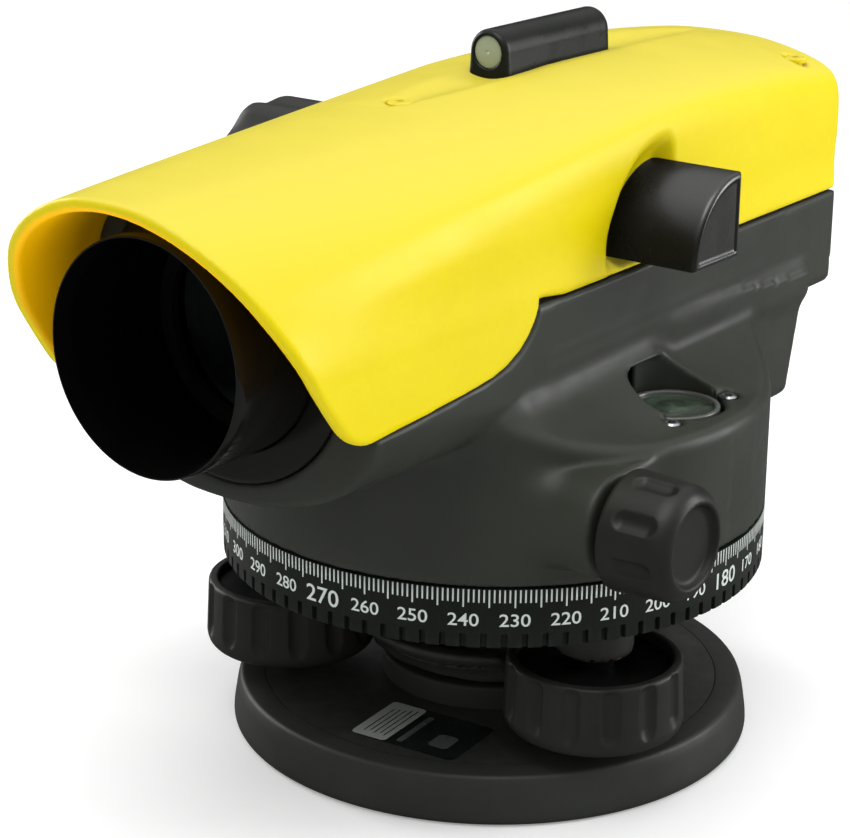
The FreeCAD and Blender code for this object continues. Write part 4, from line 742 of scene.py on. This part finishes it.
SLOT_FINISH = {
    "base_coating": BASE_PAINT,
    "black_sheet": SHEET,
    "blackened_steel": DARK_STEEL,
    "label_foil": SHEET,
    "steel": STEEL,
    "knob_rubber": KNOB,
    "head_coating": HEAD_PAINT,
    "brass": BRASS,
    "circle_black": RING_BLACK,
    "nylon": NYLON,
    "housing_coating": DARK_PAINT,
    "yellow_cover": YELLOW,
    "gloss_black": GLOSS,
    "matt_black": MATT_BLACK,
    "coated_glass": GLASS,
    "aluminium": ALUMINIUM,
    "soft_rubber": RUBBER,
    "vial_glass": VIAL,
    "mirror": MIRROR_FACE,
    "sight_plastic": SIGHT,
}

for subpart in frame["record"]["subparts"]:
    item = NODES[subpart["node"]]
    item.data.materials.clear()
    slot = "steel" if subpart["node"] == "circular_level_screws" else subpart["material_slot"]
    item.data.materials.append(SLOT_FINISH[slot])


# ---- moulded and cast pieces

top_cover = level_set("top_cover_look", cover_field, (-34, -103, 76), (34, 75.5, 128), 0.62)
adopt(top_cover, "alidade", YELLOW, "top_cover", slot="yellow_cover")

housing = level_set("housing_look", housing_field, (-50, -76, 44), (50, 76, 124), 0.8)
adopt(housing, "alidade", DARK_PAINT, "main_housing", slot="housing_coating")


def head_field(x, y, z):
    """The levelling head: a low flared hub with a sunk floor, three arms above it and the sleeve."""
    reach = np.hypot(x, y)
    wide = 20.2 + 6.8 * ramp(z, 14.5, 22.5)
    hub = both(reach - wide, np.maximum(HUB_LOW - z, z - HUB_TOP), 0.8)
    sunk = both(np.maximum(reach - 23.2, 13.5 - reach), 18.6 - z, 0.8)
    hub = without(hub, sunk, 0.8)
    whole = hub
    for centre in FEET.values():
        out = math.hypot(*centre)
        run = (x * centre[0] + y * centre[1]) / out
        off = (-x * centre[1] + y * centre[0]) / out
        web = both(np.abs(off) - ARM_HALF - 4.5 * ramp(18.0 - run, -6, 4), np.maximum(-run, run - out), 0.5)
        web = union(web, np.hypot(run - out, off) - 6.8, 1.0)
        whole = union(whole, both(web, np.maximum(16.0 - z, z - HEAD_TOP), 0.9), 4.0)
    for centre in FEET.values():
        whole = without(whole, rod_z(x, y, z, 17.2, 0, ARM_BOTTOM, centre, 0.8), 1.6)
    whole = both(whole, np.maximum(z - HEAD_TOP, HUB_LOW - z), 0.8)
    for centre in FEET.values():
        seat = rod_z(x, y, z, BUSH_RADIUS, ARM_BOTTOM - 3, HEAD_TOP + 2, centre, 0.1)
        whole = without(whole, seat, 0.1)
    whole = union(whole, rod_z(x, y, z, SLEEVE_RADIUS, 17, SLEEVE_TOP), 0.5)
    return without(whole, rod_z(x, y, z, SLEEVE_BORE, 10, 70, edge=0.1), 0.3)


head = level_set("levelling_head_look", head_field, (-42, -34, 13), (44, 48, 63), 0.8)
adopt(head, "levelling_head", HEAD_PAINT, "levelling_head", slot="head_coating")


def nearest_flute(first, second, count, radius, phase=0.0):
    """Distance across a knob's axis from the nearest of its evenly spaced flute lines."""
    pitch = 2 * math.pi / count
    angle = np.arctan2(second, first) - phase
    angle = angle - pitch * np.round(angle / pitch)
    reach = np.hypot(first, second)
    return np.hypot(reach * np.cos(angle) - radius, reach * np.sin(angle))


def foot_knob_field(x, y, z):
    """A foot screw's knob: a skirt below, lobes between flutes with pointed lower ends, a sunk top."""
    side = np.hypot(x, y) - mix(16.0, 15.1, np.clip((z - KNOB_LOW - 3) / 10, 0, 1) * 0.5)
    body = both(side, KNOB_LOW - z, 3.0)
    body = both(body, z - KNOB_HIGH, 0.9)
    rise = np.clip((z - KNOB_LOW - 2.6) / 2.2, 0, 1) * np.clip((KNOB_HIGH - 0.2 - z) / 1.2, 0, 1)
    depth = 0.85 * rise ** 0.7
    surface = np.hypot(x, y) - side
    flute = nearest_flute(x, y, FLUTES, surface + 2.5 - depth, 0.1) - 2.5
    body = without(body, flute, 0.1)
    body = without(body, rod_z(x, y, z, 13.8, KNOB_HIGH - 2.2, KNOB_HIGH + 9, edge=0.3), 0.3)
    return without(body, np.hypot(x, y) - 3.5)


def twin(item, name, matrix):
    """A moved copy of a piece."""
    copy = item.copy()
    copy.data = item.data.copy()
    copy.name = name
    bpy.context.scene.collection.objects.link(copy)
    copy.data.transform(matrix)
    if matrix.determinant() < 0:
        copy.data.flip_normals()
    return copy


pattern = level_set("foot_knob_pattern", foot_knob_field, (-17, -17, 12), (17, 17, 27.5), 0.30)
disc_outline = rounded([(3.6, 24.05), (13.78, 24.05), (13.78, 24.5), (3.6, 24.5)], 0.1)
for name, centre in FEET.items():
    knob = twin(pattern, f"foot_knob_{name}_look", Matrix.Translation(Vector((*centre, 0)) * MM))
    adopt(knob, f"foot_screw_{name}", KNOB, f"foot_knob_{name}", slot="knob_rubber")
    disc = lathe(f"foot_knob_{name}_disc", disc_outline, (*centre, 0), turns=96)
    adopt(disc, f"foot_screw_{name}", MATT_BLACK)
bpy.data.objects.remove(pattern)


def drive_knob_field(x, y, z):
    """A slow-motion knob on its own axis along +X: soft lobes and a dished end."""
    across, up = y - DRIVE_Y, z - DRIVE_Z
    reach = np.hypot(across, up)
    start, end = DRIVE_LOW[0], DRIVE_HIGH[0]
    side = reach - mix(10.4, 9.8, np.clip((x - start) / (end - start), 0, 1))
    body = both(side, x - end, 4.0)
    body = union(both(body, start + 1.6 - x, 0.7), both(reach - 7.0, np.abs(x - start - 1.2) - 1.2))
    rise = np.clip((x - start - 4.2) / 1.2, 0, 1) * np.clip((end - 2.6 - x) / 1.6, 0, 1)
    depth = 0.8 * rise ** 0.7
    flute = nearest_flute(across, up, DRIVE_FLUTES, reach - side + 2.5 - depth, 0.25) - 2.5
    body = without(body, flute, 0.1)
    dish = both(reach - 7.2 + 0.5 * (end - x), end - 1.5 - x, 0.6)
    body = without(body, dish, 0.4)
    return without(body, both(reach - 2.5, x - end + 4.9))


right_knob = level_set("drive_knob_right_look", drive_knob_field, DRIVE_LOW - 1, DRIVE_HIGH + 1, 0.34)
left_knob = twin(right_knob, "drive_knob_left_look", Matrix.Scale(-1, 4, Vector((1, 0, 0))))
for knob, side in ((right_knob, "right"), (left_knob, "left")):
    adopt(knob, "slow_motion_shaft", KNOB, f"drive_knob_{side}", slot="knob_rubber")


def focus_knob_field(x, y, z):
    """The focusing knob: wide lobes with rounded shoulders and a dished face."""
    across, up = y - FOCUS_Y, z - FOCUS_Z
    reach = np.hypot(across, up)
    outer, inner = FOCUS_LOW[0], FOCUS_HIGH[0]
    body = both(reach - 15.8, outer - x, 3.6)
    body = both(body, x - inner, 1.6)
    rise = np.clip((inner - 2.4 - x) / 3.5, 0, 1)
    flute = nearest_flute(across, up, FOCUS_FLUTES, 20.0, 0.17) - 5.6 * np.sqrt(rise + 1e-4)
    body = without(body, flute, 1.6)
    body = without(body, rod_x(x, y, z, 9.2, outer - 5, outer + 0.7, (FOCUS_Y, FOCUS_Z)), 0.8)
    return without(body, both(reach - 2.5, outer + 4.9 - x))


focus_knob = level_set("focus_knob_look", focus_knob_field, FOCUS_LOW - 1, FOCUS_HIGH + 1, 0.5)
adopt(focus_knob, "focus_shaft", KNOB, "focus_knob", slot="knob_rubber")


def mirror_field(x, y, z):
    """The mirror's hood: a quarter-round wedge with a low rim round its outer face."""
    edge = both(mirror_profile(y, z), z - MIRROR_HIGH[2] - 1, 0.9)
    body = both(edge, x - MIRROR_HIGH[0], 1.0)
    inset = both(mirror_profile(y, z) + 1.1, x - MIRROR_HIGH[0], 0.1)
    body = without(body, both(inset, MIRROR_HIGH[0] - 0.35 - x, 0.2), 0.3)
    body = both(body, 23.0 - x)
    body = both(body, -skin(x, y, z, 4.4))
    room = slab(x, y, z, (29.6, 0.4, 95.4), (42.4, 8.8, 101.6), 0.3)
    return without(body, room, 0.2)


mirror_hood = level_set("mirror_hood_look", mirror_field, (22.5, -6, 93.5), (45, 10.6, 110.2), 0.34)
adopt(mirror_hood, "alidade", HOOD_BLACK, "mirror_housing", slot="gloss_black")


def sight_field(x, y, z):
    """The open sight: an arch-topped bar with soft ends, bored from end to end."""
    spring = SIGHT_HIGH[2] - SIGHT_HALF
    arch = np.hypot(x, np.maximum(z - spring, 0)) - SIGHT_HALF - 0.06 * np.maximum(spring - z, 0)
    body = both(arch, np.maximum(SIGHT_LOW[1] - y, y - SIGHT_HIGH[1]), 1.5)
    body = both(body, ridge(y) - 2.0 - z)
    return without(body, rod_y(x, y, z, 2.9, SIGHT_LOW[1] - 5, SIGHT_HIGH[1] + 5, (0, spring)), 0.3)


sight = level_set("sight_look", sight_field, (-5.5, SIGHT_LOW[1] - 1, 119),
                  (5.5, SIGHT_HIGH[1] + 1, 131.5), 0.3)
adopt(sight, "alidade", SIGHT, "sight_body", slot="sight_plastic")

# ---- the graduated circle


def ring_mesh():
    """The circle's cup with narrow slots all round its lower edge: 1 marks the slotted corners."""
    slots = 90
    half_slot = math.radians(0.50)
    pitch = 2 * math.pi / slots
    offsets = [-half_slot - 0.002, -half_slot, half_slot, half_slot + 0.002]
    offsets += list(np.linspace(half_slot, pitch - half_slot, 6)[1:-1])
    angles = np.array([slot * pitch + offset for slot in range(slots) for offset in offsets])
    in_slot = np.array([abs(offset) <= half_slot + 1e-9 for _ in range(slots) for offset in offsets])
    outline = [(49.3, 34.2, 1), (49.8, 34.35, 1), (50.0, 34.7, 1), (50.0, 36.7, 1), (50.0, 36.9, 0),
               (50.0, 44.7, 0), (49.92, 44.92, 0), (49.7, 45.0, 0), (47.0, 45.0, 0), (47.0, 39.0, 0),
               (12.1, 39.0, 0), (12.1, 36.0, 0), (47.0, 36.0, 0), (47.0, 34.2, 0)]
    points = []
    for angle, sunk in zip(angles, in_slot):
        for radius, height, slotted in outline:
            reach = min(radius, 49.0) if sunk and slotted else radius
            points.append((reach * math.cos(angle), reach * math.sin(angle), height))
    item = piece("circle_look", points, turned_faces(len(angles), len(outline)))
    tidy(item)
    return item


def sharpen(item, degrees=35):
    """Keep edges sharper than an angle crisp in the smooth shading."""
    work = bmesh.new()
    work.from_mesh(item.data)
    for edge in work.edges:
        if len(edge.link_faces) == 2 and edge.calc_face_angle(0) > math.radians(degrees):
            edge.smooth = False
    work.to_mesh(item.data)
    work.free()


circle = ring_mesh()
sharpen(circle)
adopt(circle, "horizontal_circle", RING_BLACK, "horizontal_circle", slot="circle_black")


def wrapped(points, angle):
    """Bend flat (across, up, out) points round the circle's outer face at an angle."""
    points = np.asarray(points, float)
    turn = angle + points[:, 0] / RING_RADIUS
    reach = RING_RADIUS + points[:, 2]
    return np.stack([reach * np.cos(turn), reach * np.sin(turn), points[:, 1]], axis=1)


BOX_FACES = [(0, 2, 3, 1), (4, 5, 7, 6), (0, 1, 5, 4), (2, 6, 7, 3), (0, 4, 6, 2), (1, 3, 7, 5)]
MARK_TOP = RING_HIGH[2] - 0.1
points, faces = [], []
for degree in range(360):
    long = 3.2 if degree % 5 == 0 else 2.3
    corners = [(across, MARK_TOP - up, out)
               for across in (-0.14, 0.14) for up in (long, 0) for out in (-0.05, 0.03)]
    start = len(points)
    points += list(wrapped(corners, math.radians(degree)))
    faces += [tuple(start + i for i in face) for face in BOX_FACES]
marks = piece("circle_marks", points, faces, smooth=False)
tidy(marks)
adopt(marks, "horizontal_circle", PRINT)


def numeral(text, height, angle):
    """A printed number on the circle, read from outside, centred at an angle."""
    curve = bpy.data.curves.new("numeral", "FONT")
    curve.body = text
    curve.size = height / 0.7
    curve.align_x = "CENTER"
    curve.extrude = 0.04
    curve.offset = 0.010 * height
    curve.resolution_u = 4
    flat = bpy.data.objects.new("numeral", curve)
    bpy.context.scene.collection.objects.link(flat)
    bpy.context.view_layer.update()
    mesh = flat.to_mesh()
    corners = np.array([vertex.co for vertex in mesh.vertices])
    outline = [tuple(polygon.vertices) for polygon in mesh.polygons]
    flat.to_mesh_clear()
    bpy.data.objects.remove(flat)
    corners[:, 0] *= 1.13
    corners[:, 1] += NUMBER_HEIGHT - height / 2
    corners[:, 2] -= 0.012
    return wrapped(corners, angle), outline


points, faces = [], []
for value in range(0, 360, 10):
    height = 3.0 if value % 90 == 0 else 2.25
    corners, outline = numeral(str(value), height, math.radians(180 - value))
    start = len(points)
    points += list(corners)
    faces += [tuple(start + i for i in face) for face in outline]
numbers = piece("circle_numbers", points, faces, smooth=False)
tidy(numbers)
sharpen(numbers)
adopt(numbers, "horizontal_circle", PRINT)

# ---- turned pieces

base_outline = rounded([
    (6.8, 0), (47.9, 0), (48.55, 0.9), (48.45, 2.6), (47.7, 7.2), (47.1, 9.0), (PLATE_EDGE, 9.0),
    (PLATE_EDGE, 8.2), (20.4, 8.2), (20.4, 13.3), (6.8, 13.3)], 0.8)
base = lathe("base_plate_look", base_outline, turns=360)
adopt(base, "base", BASE_PAINT, "base_plate", slot="base_coating")

tube_outline = rounded([
    (TUBE_BORE, TUBE_REAR), (19.3, TUBE_REAR), (19.3, -91.0), (19.1, -92.5), (18.75, -92.5),
    (TUBE_BORE, -89.5), (TUBE_BORE, -69.0), (TUBE_BORE, TUBE_REAR)], 0.3)
tube = lathe("objective_tube_look", tube_outline[:-1], (0, 0, AXIS_HEIGHT), "y")
adopt(tube, "alidade", TUBE_GLOSS, "objective_tube", slot="gloss_black")
tube.data.materials.append(INSIDE_BLACK)
for polygon in tube.data.polygons:
    inward = polygon.normal.x * polygon.center.x + polygon.normal.z * (polygon.center.z - AXIS_HEIGHT * MM)
    if inward < -0.5 * TUBE_RADIUS * MM:
        polygon.material_index = 1

collar_outline = rounded([
    (19.4, -65.0), (22.0, -65.0), (22.0, -71.0), (24.8, -71.0), (24.8, -74.2), (23.9, -74.9), (19.4, -74.9),
    (19.4, -65.0)], 0.4)
collar = lathe("objective_collar_look", collar_outline[:-1], (0, 0, AXIS_HEIGHT), "y")
adopt(collar, "alidade", GLOSS, "objective_collar", slot="gloss_black")

# ---- data plate

FOIL = finish_material("label_foil_pale", (0.37, 0.39, 0.36), 0.40, 0.5, 0.002, variation=0.06, wear=0.0)
FOIL_DARK = finish_material("label_print_dark", (0.006, 0.009, 0.008), 0.24, 0.4, 0.002, variation=0.3,
                            wear=0.0)
FOIL_GREY = finish_material("label_print_grey", (0.075, 0.085, 0.08), 0.30, 0.4, 0.002, variation=0.3,
                            wear=0.0)
LABEL_TURN = Matrix.Rotation(math.radians(5), 3, "Z")
LABEL_PLACE = Vector((7.6, -31.2, BASE_HIGH[2] - 4.3 + 0.01))


def flat_plate(name, low, high, lift, thick, corner, material):
    """A thin plate of the label with rounded corners, in the label's own directions."""
    rim = []
    for sign_x, sign_y, start in ((1, 1, 0), (-1, 1, 90), (-1, -1, 180), (1, -1, 270)):
        middle = ((high[0] if sign_x > 0 else low[0]) - sign_x * corner,
                  (high[1] if sign_y > 0 else low[1]) - sign_y * corner)
        for step in range(5):
            angle = math.radians(start + step * 22.5)
            rim.append((middle[0] + corner * math.cos(angle), middle[1] + corner * math.sin(angle)))
    points = [tuple(LABEL_TURN @ Vector((*spot, lift + height)) + LABEL_PLACE)
              for height in (0, thick) for spot in rim]
    count = len(rim)
    faces = [tuple(range(count))[::-1], tuple(range(count, 2 * count))]
    faces += [(i, (i + 1) % count, (i + 1) % count + count, i + count) for i in range(count)]
    return adopt(piece(name, points, faces, smooth=False), "base", material)


plate = flat_plate("label_dark", (-10.8, -7.5), (10.8, 7.5), 0.0, 0.10, 1.2, FOIL_DARK)
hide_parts("base_label")
flat_plate("label_pale", (-10.6, -7.3), (-3.4, 7.3), 0.10, 0.05, 0.9, FOIL)
for index in range(5):
    start = -8.9 + 1.05 * index
    flat_plate(f"label_line_{index}", (start, -5.6 + 0.5 * (index % 2)),
               (start + 0.2, 4.4 + 0.4 * index), 0.15, 0.02, 0.06, FOIL_DARK)
flat_plate("label_band", (-1.8, -6.0), (-0.6, 5.2), 0.10, 0.03, 0.3, FOIL_GREY)
flat_plate("label_patch", (3.6, -4.4), (7.6, 0.6), 0.10, 0.03, 1.0, FOIL_GREY)

# ---- circular level

vial_centre = (VIAL_X, VIAL_Y, 0)
rim = lathe("level_rim", rounded([
    (0.01, 61.64), (8.2, 61.64), (8.2, 68.2), (7.3, 68.2), (7.1, 67.6), (7.1, 62.9), (0.01, 62.9)], 0.3),
    vial_centre, turns=128)
adopt(rim, "alidade", LEVEL_METAL, "circular_level_housing", slot="matt_black")
# The liquid's pale colour is partly its own tone and partly a painted reflection, standing in for the bright
# glint on the vial's glass.
LIQUID_AND_REFLECTION = finish_material("level_liquid", (0.42, 0.44, 0.41), 0.25, 0.6, 0.002, variation=0.02, wear=0.0)
liquid = lathe("level_liquid", rounded([
    (0.01, 63.0), (LEVEL_RADIUS, 63.0), (LEVEL_RADIUS, LIQUID_TOP), (0.01, LIQUID_TOP)], 0.1),
    vial_centre, turns=96)
adopt(liquid, "alidade", LIQUID_AND_REFLECTION)
INK = finish_material("level_ink", (0.02, 0.03, 0.02), 0.4, 0.3, 0.002, wear=0.0)
for name, inner in (("level_mark_inner", 3.0), ("level_mark_outer", 5.9)):
    outer = inner + 0.22
    mark = lathe(name, [(inner, LIQUID_TOP), (outer, LIQUID_TOP), (outer, 67.05), (inner, 67.05)],
                 vial_centre, turns=96)
    adopt(mark, "alidade", INK)
dome = [(2.2 * math.sin(a), 67.02 + 0.35 * math.cos(a)) for a in np.linspace(0.001, 1.57, 12)]
bubble = lathe("level_bubble", dome + [(0.0, 67.02)], vial_centre, turns=96)
BUBBLE = finish_material("level_bubble_air", (0.48, 0.50, 0.46), 0.2, 0.6, 0.001, variation=0.03, wear=0.0)
adopt(bubble, "alidade", BUBBLE)
dome = [(LEVEL_RADIUS * math.cos(a), 67.55 + 0.4 * math.sin(a)) for a in np.linspace(0, 1.569, 10)]
cap = lathe("level_glass", [(0.01, 67.5), (LEVEL_RADIUS, 67.5)] + dome, vial_centre, turns=128)
adopt(cap, "alidade", VIAL, "circular_level_vial", slot="vial_glass")

# ---- sight windows

WINDOW = finish_material("sight_window", (0.33, 0.38, 0.30), 0.12, 0.5, 0.002, variation=0.06, wear=0.0,
                         coat=0.7)
WINDOWS = (("sight_window_front", SIGHT_LOW[1] + 0.5, -1), ("sight_window_rear", SIGHT_HIGH[1] - 0.5, 1))
for name, where, facing in WINDOWS:
    dome = [(0.01, where - facing * 1.2), (WINDOW_RADIUS, where - facing * 1.2)]
    dome += [(WINDOW_RADIUS * math.cos(a), where + facing * 0.35 * math.sin(a))
             for a in np.linspace(0, 1.569, 8)]
    window = lathe(name, dome, (0, 0, SIGHT_HIGH[2] - SIGHT_HALF), "y", turns=96)
    adopt(window, "alidade", WINDOW)
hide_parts("sight_windows")

# ---- studio and camera

FLOOR = finish_material("studio_floor", (0.93, 0.93, 0.93), 0.75, 5.0, 0.01, variation=0.004, wear=0.0,
                        rough_spread=0.03)
floor_tree = FLOOR.node_tree
floor_shader = floor_tree.nodes["Principled BSDF"]
floor_paths = node(floor_tree, "ShaderNodeLightPath")
pale = floor_shader.inputs["Base Color"].links[0].from_socket
dimmed = blended(floor_tree, floor_paths.outputs["Is Glossy Ray"], pale, (0.12, 0.12, 0.12))
feed(floor_tree, floor_shader, {
    "Emission Strength": times(floor_tree, floor_paths.outputs["Is Camera Ray"], 0.22),
    "Emission Color": (1.0, 1.0, 1.0, 1.0), "Base Color": dimmed})
bpy.ops.mesh.primitive_plane_add(size=8.0, location=(0, 0, -0.0002))
floor = bpy.context.object
floor.name = "studio_floor"
floor.data.materials.append(FLOOR)

world = bpy.data.worlds.new("studio")
world.use_nodes = True
sky = world.node_tree
paths = node(sky, "ShaderNodeLightPath")
upward = node(sky, "ShaderNodeSeparateXYZ", {"Vector": node(sky, "ShaderNodeTexCoord").outputs["Generated"]})
mirrored = scaled(sky, upward.outputs["Z"], 0.3, 0.95, 0.06, 1.4)
bright = scaled(sky, paths.outputs["Is Glossy Ray"], 0.0, 1.0, 0.62, mirrored)
shown = scaled(sky, paths.outputs["Is Camera Ray"], 0.0, 1.0, bright, 1.0)
feed(sky, sky.nodes["Background"], {"Strength": shown, "Color": (1.0, 1.0, 1.0, 1.0)})
bpy.context.scene.world = world


def softbox(name, place, aim, size, watts):
    """A soft rectangular lamp aimed at a point."""
    lamp = bpy.data.lights.new(name, "AREA")
    lamp.shape = "RECTANGLE"
    lamp.size, lamp.size_y = size
    lamp.energy = watts
    item = bpy.data.objects.new(name, lamp)
    item.location = place
    item.rotation_euler = (Vector(aim) - Vector(place)).to_track_quat("-Z", "Y").to_euler()
    bpy.context.scene.collection.objects.link(item)


MIDDLE = (0, -0.01, 0.08)
softbox("key_above", (0.10, -0.25, 0.85), MIDDLE, (0.55, 0.55), 3.1)
softbox("side_left", (-0.88, -0.02, 0.30), MIDDLE, (0.35, 0.55), 4.0)
softbox("side_right", (0.68, 0.62, 0.30), MIDDLE, (0.35, 0.55), 4.8)

CAMERA_PLACE = (0.2510, -0.3543, 0.2058)
FOCAL_LENGTH = 105.66
AZIMUTH, ELEVATION, ROLL = math.radians(37.0), math.radians(18.82), math.radians(-0.55)
forward = Vector((-math.sin(AZIMUTH) * math.cos(ELEVATION), math.cos(AZIMUTH) * math.cos(ELEVATION),
                  -math.sin(ELEVATION)))
level = Vector((math.cos(AZIMUTH), math.sin(AZIMUTH), 0))
down = forward.cross(level)
across = level * math.cos(ROLL) + down * math.sin(ROLL)
drop = down * math.cos(ROLL) - level * math.sin(ROLL)
lens = bpy.data.cameras.new("camera")
lens.sensor_width = 36.0
lens.lens = FOCAL_LENGTH
camera = bpy.data.objects.new("camera", lens)
bpy.context.scene.collection.objects.link(camera)
axes = Matrix((across, -drop, -forward)).transposed().to_4x4()
camera.matrix_world = Matrix.Translation(Vector(CAMERA_PLACE)) @ axes
bpy.context.scene.camera = camera
bpy.context.scene.view_settings.view_transform = "Standard"
